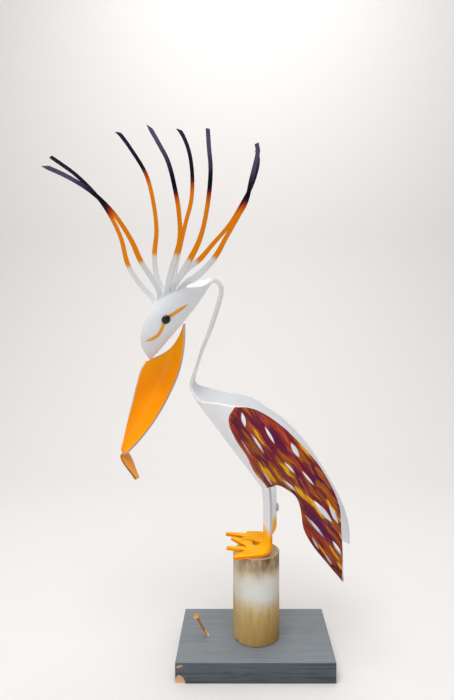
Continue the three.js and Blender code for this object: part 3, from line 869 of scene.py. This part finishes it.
def leg_strip(leg):
    first = leg["first"]
    row = [corner[hip_row, first + k] for k in range(LEG_COLUMNS + 1)]
    hips = [vert.co.copy() for vert in row]
    near, far = Vector(leg["near"]), Vector(leg["far"])
    feet = [near.lerp(far, k / LEG_COLUMNS).to_3d() for k in range(len(row))]
    ahead = Vector(leg["ahead"]).to_3d().normalized()
    heel_top = FOOT_LEVEL + HEEL_RADIUS

    for t in THIGH_STEPS:
        ease = t * (2 - t)
        row = grow(row, [Vector((mix(hip.x, foot.x, ease), mix(hip.y, foot.y, t), mix(hip.z, SHANK_TOP, t)))
                         for hip, foot in zip(hips, feet)], 0, LEG)
    for t in EVEN_STEPS:
        row = grow(row, [Vector((foot.x, foot.y, mix(SHANK_TOP, heel_top, t))) for foot in feet], 0, LEG)
    for turn in HEEL_TURNS:
        a = math.radians(turn)
        swing = ahead * HEEL_RADIUS * (1 - math.cos(a))
        swing += Vector((0, 0, heel_top - HEEL_RADIUS * math.sin(a)))
        row = grow(row, [foot + swing for foot in feet], 0, LEG)
    web = [Vector(point + (FOOT_LEVEL,)) for point in leg["web"]]
    spread = []
    for (a, b), start, end in zip(TOE_SPLIT, web, web[1:]):
        spread += [start.lerp(end, k / (b - a)) for k in range(b - a)]
    row = stretch(row, spread + [web[-1]], WEB_STEPS)
    for (a, b), tip in zip(TOE_SPLIT, leg["tips"]):
        toe_strip(row[a:b + 1], Vector(tip + (FOOT_LEVEL,)))


for leg in LEGS:
    leg_strip(leg)
print("sheet", len(sheet.faces), "faces")

# %% [markdown]
# ### Step 6: give the sheet its thickness
# So far the bird is a surface without thickness, in millimetres. It is scaled to metres, and a Solidify
# modifier gives it the pipe's wall, half to each side. The modifier can give the inside and the cut edge
# their own finishes, further down the piece's list of materials. The helpers here serve every later piece.

# %% Mesh helpers
def make_object(name, bm, materials):
    mesh = bpy.data.meshes.new(name)
    bm.to_mesh(mesh)
    bm.free()
    for material in materials:
        mesh.materials.append(material)
    obj = bpy.data.objects.new(name, mesh)
    bpy.context.scene.collection.objects.link(obj)
    return obj


def baked_copy(obj):
    """The object's mesh with its modifiers worked in, as a bmesh; the object itself goes."""
    mesh = bpy.data.meshes.new_from_object(obj.evaluated_get(bpy.context.evaluated_depsgraph_get()))
    bm = bmesh.new()
    bm.from_mesh(mesh)
    bpy.data.objects.remove(obj)
    bpy.data.meshes.remove(mesh)
    return bm


def thickened(bm, materials, thickness, inside, rim):
    """A surface made solid; inside and rim say how many places down the list their finishes are."""
    skin = make_object("skin", bm, materials)
    wall = skin.modifiers.new("wall", "SOLIDIFY")
    wall.thickness, wall.offset = thickness * MM, 0
    wall.material_offset, wall.material_offset_rim = inside, rim
    return baked_copy(skin)


def to_metres(bm):
    bmesh.ops.scale(bm, vec=(MM, MM, MM), verts=bm.verts)


def smooth(bm):
    for face in bm.faces:
        face.smooth = True


def finish_round(verts, index):
    """Gives the faces that meet at some corners another of the piece's finishes."""
    for face in {face for vert in verts for face in vert.link_faces}:
        face.material_index = index


def crease(bm, angle):
    """Shades a piece smooth, apart from the edges that bend more than an angle in degrees."""
    smooth(bm)
    for edge in bm.edges:
        edge.smooth = len(edge.link_faces) == 2 and edge.calc_face_angle(0) < math.radians(angle)


# %% [markdown]
# The flat places become a map for the paint, and the normals must point out of the pipe before the wall is
# added: at the tail that is downward. A rough grey bead, which the photograph shows on the back of the far
# leg, gets a finish of its own at the end of the list.

# %% Thickness
to_metres(sheet)
smooth(sheet)
bmesh.ops.recalc_face_normals(sheet, faces=sheet.faces)
pattern_map = sheet.loops.layers.uv.new("pattern")
for face in sheet.faces:
    for loop in face.loops:
        loop[pattern_map].uv = loop.vert[flat].xy
tail_face = max(sheet.faces, key=lambda face: face.calc_center_median().x)
if tail_face.normal.z > 0:
    bmesh.ops.reverse_faces(sheet, faces=sheet.faces)

SCAR = {"at": (48.5, 60, 267), "radius": 4.5, "stretch": (0.8, 1, 2)}
SCAR_GREYS = linear(204, 202, 200), linear(158, 156, 154)

scar_finish = Finish("scar", roughness=0.6)
scar_grain = scar_finish.noise(scar_finish.place(), 260, 4)
scar_finish.set(scar_finish.mix(scar_grain, *SCAR_GREYS), None, scar_grain, 0.0006)
bird_finishes = [outside_finish, pipe_inside, edge_finish, plume_outside, plume_inside, plume_inside,
                 leg_finish, leg_finish, shaded_leg_edge, scar_finish.material]
solid_bird = thickened(sheet, bird_finishes, WALL, 1, 2)
print("solid", len(solid_bird.faces), "faces")

# %% [markdown]
# ### Step 7: ease the cut edges
# A sawn edge that has been sanded and handled isn't sharp. The long edges of the rims, plumes, legs and
# toes get a narrow two-step bevel. The slots keep a crisp edge, which is marked sharp for the shading. The
# finished bird is kept inside the box of its plain solid.

# %% Eased edges
BEVEL = 0.45 * MM
BEVEL_ROOM = 1.2
SHARP = math.radians(50)
PIPE_CREASE = 20


def is_sharp(edge):
    return len(edge.link_faces) == 2 and edge.calc_face_angle(0) > SHARP


def is_eased(edge):
    if not is_sharp(edge) or any(vert[solid_sawn] for vert in edge.verts):
        return False
    return min(side.calc_length() for face in edge.link_faces for side in face.edges) > BEVEL_ROOM * BEVEL


def ease(bm, edges, **more):
    bmesh.ops.bevel(bm, geom=edges, offset=BEVEL, offset_type="OFFSET", segments=2, profile=0.5,
                    affect="EDGES", material=-1, clamp_overlap=False, **more)
    print("eased", len(edges), "edges; faces", len(bm.faces))


bead = bmesh.ops.create_uvsphere(solid_bird, u_segments=24, v_segments=16,
                                 radius=SCAR["radius"] * MM)["verts"]
bmesh.ops.scale(solid_bird, vec=SCAR["stretch"], verts=bead)
bmesh.ops.translate(solid_bird, vec=Vector(SCAR["at"]) * MM, verts=bead)
finish_round(bead, len(bird_finishes) - 1)
solid_sawn = solid_bird.verts.layers.int["sawn"]
ease(solid_bird, [edge for edge in solid_bird.edges if is_eased(edge)], miter_outer="ARC")
bird_low, bird_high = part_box("pelican")
for vert in solid_bird.verts:
    vert.co = [min(max(value, low), high) for value, low, high in zip(vert.co, bird_low, bird_high)]
crease(solid_bird, PIPE_CREASE)
pelican = make_object("pelican_pipe", solid_bird, bird_finishes)
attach(pelican, "root")
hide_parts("pelican")

# %% [markdown]
# ## The bill
# The bill is a scoop of the same pipe, painted orange before it was slipped over the cut face. Its end was
# warmed again and folded under to make the hook. Two edge lines carry it: the sheet is spread between them
# and bulges away, as deep as a piece of pipe that wide would be. Near the top it also bows forward.

# %% Bill
BILL_LEFT = [
    (-216, 8, 576), (-225, 8, 560), (-234, 8, 529), (-242, 8, 496), (-252, 8, 458), (-261, 9, 418),
    (-264, 11, 396), (-254, 19, 389), (-231, 9, 342),
]
BILL_RIGHT = [
    (-139.5, 8, 650), (-140, 8, 611), (-148, 7, 563), (-163, 5, 523), (-192, 2, 468), (-226, -3, 422),
    (-250, -6, 398), (-262, -8, 390), (-234, -3, 343),
]
BILL_BOW = [15, 9, 3, 0, 0, 0, 0, 0, 0]
BILL_THICK = 5
BILL_CURVE = 60
BILL_DEEPEST = 16
BILL_SLOPE = Vector((0.67, 0, -0.74))
BILL_ROWS, BILL_COLUMNS = 64, 18
BILL_STEP = 0.02


def paced(line, t):
    """The place at a share t of the line's points, so both edges keep step with each other."""
    knots = line.knot_reach
    index = min(t * (len(knots) - 1), len(knots) - 1.0001)
    whole = int(index)
    return line.at(mix(knots[whole], knots[whole + 1], index - whole))


bill_left, bill_right = SmoothLine(BILL_LEFT, 12), SmoothLine(BILL_RIGHT, 12)


def bill_middle(t):
    return (paced(bill_left, t) + paced(bill_right, t)) / 2


def bill_point(t, across):
    left, right = paced(bill_left, t), paced(bill_right, t)
    chord = right - left
    onward = bill_middle(min(t + BILL_STEP, 1)) - bill_middle(max(t - BILL_STEP, 0))
    outward = chord.cross(onward).normalized()
    bulge = 4 * across * (1 - across)
    depth = min(chord.length_squared / (8 * BILL_CURVE), BILL_DEEPEST)
    bow = lookup(list(enumerate(BILL_BOW)), t * (len(BILL_BOW) - 1))
    return left + chord * across + outward * depth * bulge + BILL_SLOPE * bow * bulge


bill_sheet = bmesh.new()
along_bill, across_bill = (bill_sheet.verts.layers.float.new(name) for name in ("along", "across"))
bmesh.ops.create_grid(bill_sheet, x_segments=BILL_ROWS, y_segments=BILL_COLUMNS, size=0.5)
for vert in bill_sheet.verts:
    vert[along_bill], vert[across_bill] = vert.co.x + 0.5, vert.co.y + 0.5
    vert.co = bill_point(vert[along_bill], vert[across_bill]) * MM
bmesh.ops.recalc_face_normals(bill_sheet, faces=bill_sheet.faces)
smooth(bill_sheet)
print("bill", len(bill_sheet.faces), "faces before it is thickened")

# %% [markdown]
# The bill's orange is deepest in the middle and duller on the hook. It is painted lighter at the root, where
# the head shades it, and paler on the hook, for the light on the fold: painted light. Its cut edge shows the
# pale plastic, cream at the root where it is lit, darker down the side in shade and brown at the hook with
# paint and shade: painted light and shade. One recipe serves both, since the sheet carries how far along it
# each corner is.

# %% Bill paint and wall
def bill_paint(name, root, middle, tip):
    finish = Finish(name, roughness=0.36, shine=0.12)
    where = finish.place()
    along = finish.attribute("along")
    tone = finish.mix(finish.step(along, 0.0, 0.3), root, middle)
    tone = finish.mix(finish.step(along, 0.76, 0.86), tone, tip)
    tone = finish.mix(finish.times(finish.noise(where, 30, 3), 0.25), tone, linear(240, 132, 0))
    rough = finish.scaled(finish.noise(where, 90, 3), 0.2, 0.2)
    return finish.set(tone, rough, finish.noise(where, 380, 3), 0.00012)


bill_finishes = [
    # Painted light: the root colour is lighter and the hook colour paler than the paint's own orange.
    bill_paint("bill_paint", linear(255, 172, 0), linear(255, 152, 0), linear(226, 152, 70)),
    # Painted light and shade on the cut edge: cream where lit at the root, darker grey down the side.
    bill_paint("bill_sawn_edge_lit_and_shaded", linear(222, 206, 180), linear(184, 168, 144), linear(164, 100, 26)),
]
bill_solid = thickened(bill_sheet, bill_finishes, BILL_THICK, 0, 1)
ease(bill_solid, [edge for edge in bill_solid.edges if is_sharp(edge)])
crease(bill_solid, PIPE_CREASE)
bill = make_object("bill", bill_solid, bill_finishes)
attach(bill, "root")
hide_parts("beak")

# %% [markdown]
# ## The eyes
# Each eye is a glossy black half-round dome on the outside of the head, spun from its quarter outline.

# %% Eyes
EYE_PLACE = (81, 59)
EYE_RADIUS = 8.7
EYE_HEIGHT = 6.6
EYE_EDGE = 0.8
EYE_LIFT = 0.3
EYE_STEPS, EYE_SIDES = 12, 48


def eye_black():
    finish = Finish("eye_black", roughness=0.08, shine=0.4)
    where = finish.place()
    tone = finish.mix(finish.noise(where, 300, 3), linear(2, 2, 4), linear(7, 7, 10))
    rough = finish.scaled(finish.noise(where, 400, 2), 0.1, 0.04)
    return finish.set(tone, rough, finish.noise(where, 260, 2), 0.00002)


eye_finish = eye_black()


def spun(bm, outline, sides):
    """Spins an outline of (radius, height) pairs into a closed round body about Z."""
    verts = [bm.verts.new((r, 0, z)) for r, z in outline]
    edges = [bm.edges.new(pair) for pair in zip(verts, verts[1:])]
    bmesh.ops.spin(bm, geom=verts + edges, cent=(0, 0, 0), axis=(0, 0, 1), angle=math.radians(360),
                   steps=sides, use_merge=True)
    bmesh.ops.remove_doubles(bm, verts=bm.verts, dist=1e-7)
    bmesh.ops.recalc_face_normals(bm, faces=bm.faces)


def stand(bm, place, direction):
    """Moves a spun body to a place and turns its axis to a direction."""
    turn = Vector((0, 0, 1)).rotation_difference(direction).to_matrix().to_4x4()
    bmesh.ops.transform(bm, matrix=Matrix.Translation(place) @ turn, verts=bm.verts)


for name, side in (("eye_near", -1), ("eye_far", 1)):
    dome = bmesh.new()
    outline = [(0, 0), (EYE_RADIUS - 0.3, 0), (EYE_RADIUS, 0.2), (EYE_RADIUS, EYE_EDGE)]
    for k in range(1, EYE_STEPS + 1):
        a = math.radians(90 * k / EYE_STEPS)
        radius = EYE_RADIUS * math.cos(a) if k < EYE_STEPS else 0
        outline.append((radius, mix(EYE_EDGE, EYE_HEIGHT, math.sin(a))))
    spun(dome, [(r * MM, z * MM) for r, z in outline], EYE_SIDES)
    s, angle = EYE_PLACE[0], side * math.radians(EYE_PLACE[1])
    seat = on_pipe(s, angle, -EYE_LIFT)
    stand(dome, seat * MM, seat - on_pipe(s, angle, WALL))
    smooth(dome)
    eye = make_object("dome_" + name, dome, [eye_finish])
    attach(eye, "root")
    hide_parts(name)

# %% [markdown]
# ## The post
# The bird stands on a length of turned fence post. Its grain runs up and down, so the wood darkens and
# opens along upright lines. It is yellower at its foot and browner toward the top, with a worn white patch
# between. Just under the sawn top a mottled dark brown band is partly stain and partly painted shadow cast
# by the feet. The rims are rounded, and a chip is missing low on the left.

# %% Post
POST_RADIUS = 45.5
POST_MIDDLE = (3, -2)
POST_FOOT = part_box("post")[0].z / MM
POST_SIDES = 128
POST_RINGS = 24
POST_EDGE = 1.2
WHITE_PATCH = (0.010, -0.047, 0.143)
WOOD_CREASE = 40
print("post from", round(POST_FOOT, 1), "to", round(POST_TOP, 1), "mm")

# %% [markdown]
# Most of the post's colour goes by height: each mark is a soft step on it, broken up by noise. The white
# patch is a soft ball round its middle, squashed to the shape of the worn place.

# %% Post wood
def post_wood():
    finish = Finish("post_wood", roughness=0.8, shine=0.25)
    where = finish.place()
    height = finish.axis(where, "Z")
    right = finish.step(finish.axis(where, "X"), -0.035, 0.02)
    grain = finish.noise(finish.place((420, 420, 14)), 1, 4, 0.65)
    wide = finish.noise(finish.place((60, 60, 16)), 1, 3)
    low = finish.math("ADD", height, finish.scaled(wide, 0.05, -0.025))
    tone = finish.mix(finish.step(low, 0.145, 0.085), linear(206, 192, 162), linear(188, 158, 100))
    tone = finish.mix(finish.times(finish.step(grain, 0.5, 0.75), 0.5), tone, linear(140, 112, 72))
    tone = finish.mix(finish.times(finish.step(grain, 0.5, 0.3), 0.3), tone, linear(220, 206, 172))

    foot = finish.times(finish.step(low, 0.115, 0.045), finish.scaled(right, 0.55, 0.1))
    tone = finish.mix(foot, tone, linear(152, 112, 40))
    # Browner toward the top, more on the right.
    browner_above = finish.times(finish.step(low, 0.156, 0.186), finish.scaled(right, 0.35, 0.3))
    tone = finish.mix(browner_above, tone, linear(146, 114, 74))
    # Partly stain, partly painted shadow: a mottled dark band just under the sawn top, cast by the feet.
    stain_and_shadow = finish.step(finish.noise(finish.place((70, 70, 30)), 1, 4), 0.36, 0.60)
    stain_and_shadow = finish.times(finish.step(height, 0.168, 0.200), stain_and_shadow)
    stain_and_shadow = finish.times(stain_and_shadow, finish.scaled(right, 0.5, 0.42))
    sawn_top = finish.step(height, 0.2030, 0.2038)
    stain_and_shadow = finish.times(stain_and_shadow, finish.scaled(sawn_top, -0.7, 1))
    tone = finish.mix(stain_and_shadow, tone, linear(96, 60, 20))
    tone = finish.mix(finish.times(sawn_top, 0.5), tone, linear(190, 160, 132))

    from_patch = finish.vector("MULTIPLY", finish.vector("SUBTRACT", where, WHITE_PATCH), (14, 8, 27))
    far = finish.add("ShaderNodeVectorMath", {0: from_patch}, operation="LENGTH").outputs["Value"]
    far = finish.math("ADD", far, finish.scaled(finish.noise(where, 60, 4), 0.7, -0.35))
    tone = finish.mix(finish.times(finish.step(far, 1.15, 0.15), 0.88), tone, linear(216, 216, 214))
    return finish.set(tone, finish.scaled(grain, 0.25, 0.6), grain, 0.0007)


def bare_wood():
    finish = Finish("bare_wood", roughness=0.8, shine=0.2)
    fibres = finish.noise(finish.place((60, 500, 500)), 1, 4, 0.6)
    tone = finish.mix(fibres, linear(240, 204, 160), linear(196, 150, 104))
    return finish.set(tone, None, fibres, 0.0008)


bare_finish = bare_wood()
post_finishes = [post_wood(), bare_finish]


# %% [markdown]
# Where wood has broken away, a ragged lump is cut out of the piece with a Boolean modifier. The lump is a
# ball that is stretched, turned and roughened with noise, and its faces leave bare wood behind.

# %% Chips
RAGGED_SIZE, RAGGED_DEPTH = 2.5, 1.5


def bitten(bm, materials, size, turn, at):
    """The piece without one chip: size in millimetres, turns in degrees, and the lump's middle."""
    lump = bmesh.new()
    bmesh.ops.create_icosphere(lump, subdivisions=4, radius=0.5)
    spin = Matrix.Rotation(math.radians(turn[2]), 4, "Z") @ Matrix.Rotation(math.radians(turn[1]), 4, "Y")
    spin = spin @ Matrix.Rotation(math.radians(turn[0]), 4, "X") @ Matrix.Diagonal(Vector(size).to_4d())
    bmesh.ops.transform(lump, matrix=Matrix.Translation(at) @ spin, verts=lump.verts)
    for vert in lump.verts:
        vert.co += noise.noise_vector(vert.co / RAGGED_SIZE) * RAGGED_DEPTH
    to_metres(lump)
    finish_round(lump.verts, 1)
    whole, tool = make_object("whole", bm, materials), make_object("lump", lump, materials)
    cut = whole.modifiers.new("bite", "BOOLEAN")
    cut.operation, cut.object, cut.solver = "DIFFERENCE", tool, "EXACT"
    bm = baked_copy(whole)
    bpy.data.objects.remove(tool)
    print("chip", size, "leaves", len(bm.faces), "faces")
    return bm


# %% [markdown]
# The post is spun from its outline. Its side is then drawn in along shallow grooves and wider waves. Each
# row of the relief says how many there are round the post, how long they are and how deep.

# %% Post shape
POST_CHIP = {"size": (11, 9, 8), "turn": (0, 29, 34), "at": (-34, -29.5, 41)}
POST_RELIEF = [(14, 90, 0.010), (1.5, 60, 0.012)]

post_mesh = bmesh.new()
post_high = POST_TOP - POST_FOOT
outline = [
    (0, 0), (POST_RADIUS - POST_EDGE, 0), (POST_RADIUS, POST_EDGE),
    *[(POST_RADIUS, mix(POST_EDGE, post_high - POST_EDGE, k / POST_RINGS)) for k in range(1, POST_RINGS)],
    (POST_RADIUS, post_high - POST_EDGE), (POST_RADIUS - POST_EDGE, post_high),
    (POST_RADIUS * 0.75, post_high), (POST_RADIUS * 0.4, post_high), (0, post_high),
]
spun(post_mesh, outline, POST_SIDES)
for vert in post_mesh.verts:
    if math.hypot(vert.co.x, vert.co.y) > POST_RADIUS * 0.9:
        a = math.atan2(vert.co.y, vert.co.x)
        shrink = 1
        for many, long, deep in POST_RELIEF:
            dip = noise.noise(Vector((math.cos(a) * many, math.sin(a) * many, vert.co.z / long)))
            shrink -= deep * max(0, dip)
        vert.co.xy *= shrink
bmesh.ops.translate(post_mesh, vec=POST_MIDDLE + (POST_FOOT,), verts=post_mesh.verts)
to_metres(post_mesh)
post_mesh = bitten(post_mesh, post_finishes, **POST_CHIP)
crease(post_mesh, WOOD_CREASE)
post = make_object("fence_post", post_mesh, post_finishes)
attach(post, "root")
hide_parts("post")

# %% [markdown]
# ## The board
# The plank is painted blue-grey, with its long grain showing as fine waves on the front edge. Its top is
# given a lighter grey and its sides a darker one, as the light from above falls: painted light and shade.
# Corners and arrises are worn round, and the paint has gone with them where wood broke off.

# %% Board
BOARD = (292, 184, 38)
BOARD_EDGE = 1.4
BOARD_CHIPS = [
    {"size": (20, 8, 32), "turn": (0, -10, 0), "at": (-137, -92, 0)},
    {"size": (12, 5, 5), "turn": (0, -6, 0), "at": (-138, -92, 31.5)},
]


def board_paint():
    finish = Finish("board_paint", roughness=0.6, shine=0.3)
    where = finish.place()
    grain = finish.noise(finish.place((9, 150, 230)), 1, 4, 0.6, 0.8)
    # Painted light and shade: the top takes the lighter grey, the sides the darker one, by which way each
    # face points.
    lit_top = finish.mix(finish.noise(where, 16, 4), linear(128, 133, 137), linear(112, 118, 122))
    side = finish.mix(finish.noise(where, 22, 4), linear(90, 97, 104), linear(68, 76, 83))
    upward = finish.axis(finish.add("ShaderNodeNewGeometry").outputs["Normal"], "Z")
    tone = finish.mix(finish.step(upward, 0.3, 0.9), side, lit_top)
    dark = finish.times(finish.step(grain, 0.48, 0.66), finish.scaled(upward, -0.45, 0.6))
    tone = finish.mix(dark, tone, linear(44, 52, 60))
    return finish.set(tone, finish.scaled(grain, 0.25, 0.45), grain, 0.0005)


board_finishes = [board_paint(), bare_finish]
board_mesh = bmesh.new()
bmesh.ops.create_cube(board_mesh, size=1)
bmesh.ops.scale(board_mesh, vec=BOARD, verts=board_mesh.verts)
bmesh.ops.translate(board_mesh, vec=(0, 0, BOARD[2] / 2), verts=board_mesh.verts)
bmesh.ops.bevel(board_mesh, geom=board_mesh.edges[:], offset=BOARD_EDGE, offset_type="OFFSET", segments=3,
                profile=0.5, affect="EDGES", material=-1)
to_metres(board_mesh)
for chip in BOARD_CHIPS:
    board_mesh = bitten(board_mesh, board_finishes, **chip)
crease(board_mesh, WOOD_CREASE)
board = make_object("plank", board_mesh, board_finishes)
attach(board, "root")
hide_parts("base_board")

# %% [markdown]
# ## The screw
# A yellow-zinc screw leans in the board to the left of the post, its countersunk head well clear of the
# wood. The outline is spun, and the thread is a small triangle spun with a rise, which makes a helix. A
# collar of torn wood stands round its foot.

# %% Screw
SCREW_FOOT, SCREW_HEAD = Vector((-93.7, -5.5, 38)), Vector((-113, -30, 88.7))
SHAFT, CORE, HEAD = 2.3, 2.3 * 0.8, 5.2
POINT, CORE_START, CORE_END = -32, -24, 16
CONE, RIM, RECESS, RECESS_FLOOR, RECESS_DEPTH = 5.4, 1.2, 2.5, 1.8, 2.2
THREAD = {"from": -22, "to": 16, "pitch": 2.6, "out": 0.8, "foot": 0.7, "steps": 16}
COLLAR = {"segments": 18, "radius1": 4.4, "radius2": 3.0, "depth": 1.4}
COLLAR_SHIFT = Vector((0.4, 0.3, 0.75))
COLLAR_TORN, COLLAR_GRAIN = 0.5, 0.9
SCREW_SIDES = 32


def yellow_zinc():
    finish = Finish("yellow_zinc", roughness=0.35, metallic=0.5)
    where = finish.place()
    tone = finish.mix(finish.noise(where, 200, 3), linear(244, 184, 90), linear(200, 130, 44))
    rough = finish.scaled(finish.noise(where, 350, 3), 0.3, 0.25)
    return finish.set(tone, rough, finish.noise(where, 700, 2), 0.00003)


screw_mesh = bmesh.new()
reach = (SCREW_HEAD - SCREW_FOOT).length
outline = [
    (0, POINT), (CORE, CORE_START), (CORE, CORE_END), (SHAFT, CORE_END + 1), (SHAFT, reach - CONE),
    (HEAD, reach - RIM), (HEAD, reach - 0.3), (HEAD - 0.3, reach), (RECESS + 0.1, reach),
    (RECESS, reach - 0.1), (RECESS_FLOOR, reach - RECESS_DEPTH), (0, reach - RECESS_DEPTH),
]
spun(screw_mesh, outline, SCREW_SIDES)
ridge = [(SHAFT * 0.7, -THREAD["foot"]), (CORE + THREAD["out"], 0), (SHAFT * 0.7, THREAD["foot"])]
ridge_face = screw_mesh.faces.new([screw_mesh.verts.new((r, 0, THREAD["from"] + z)) for r, z in ridge])
turns = (THREAD["to"] - THREAD["from"]) / THREAD["pitch"]
steps = round(turns * THREAD["steps"])
bmesh.ops.spin(screw_mesh, geom=[ridge_face], cent=(0, 0, 0), axis=(0, 0, 1), steps=steps,
               angle=math.radians(360 * turns), dvec=(0, 0, THREAD["pitch"] * turns / steps))
bmesh.ops.recalc_face_normals(screw_mesh, faces=screw_mesh.faces)
stand(screw_mesh, SCREW_FOOT, SCREW_HEAD - SCREW_FOOT)
collar_place = Matrix.Translation(SCREW_FOOT + COLLAR_SHIFT)
collar = bmesh.ops.create_cone(screw_mesh, cap_ends=True, matrix=collar_place, **COLLAR)["verts"]
for vert in collar:
    torn = 1 + COLLAR_TORN * noise.noise(vert.co * COLLAR_GRAIN)
    vert.co.x, vert.co.y = (mix(middle, side, torn) for middle, side in zip(SCREW_FOOT, vert.co.xy))
finish_round(collar, 1)
to_metres(screw_mesh)
crease(screw_mesh, WOOD_CREASE)
screw = make_object("zinc_screw", screw_mesh, [yellow_zinc(), bare_finish])
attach(screw, "root")
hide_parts("board_screw")

# %% [markdown]
# ## Floor
# The floor is a pale sheet that curves up behind the bird, as in a photographer's studio, so no edge of it
# shows. Its profile is extruded step by step from one edge.

# %% Floor
FLOOR_HALF_WIDTH, FLOOR_FRONT = 6.0, -6
SWEEP_START, SWEEP_RADIUS, SWEEP_TOP = 1.1, 1.2, 5.0

floor_mesh = bmesh.new()
ends = [floor_mesh.verts.new((x, FLOOR_FRONT, 0)) for x in (-FLOOR_HALF_WIDTH, FLOOR_HALF_WIDTH)]
front = floor_mesh.edges.new(ends)
bend = [math.radians(6 * k) for k in range(16)]
profile = [(SWEEP_START + SWEEP_RADIUS * math.sin(a), SWEEP_RADIUS * (1 - math.cos(a))) for a in bend]
for y, z in profile + [(SWEEP_START + SWEEP_RADIUS, SWEEP_TOP)]:
    made = bmesh.ops.extrude_edge_only(floor_mesh, edges=[front])["geom"]
    front = next(part for part in made if isinstance(part, bmesh.types.BMEdge) and part.is_boundary
                 and all(vert in made for vert in part.verts))
    for vert in front.verts:
        vert.co.y, vert.co.z = y, z
smooth(floor_mesh)
floor_finish = Finish("floor", roughness=0.8, shine=0.2)
floor_finish.shader.inputs["Base Color"].default_value = linear(216, 213, 211)
floor = make_object("floor", floor_mesh, [floor_finish.material])
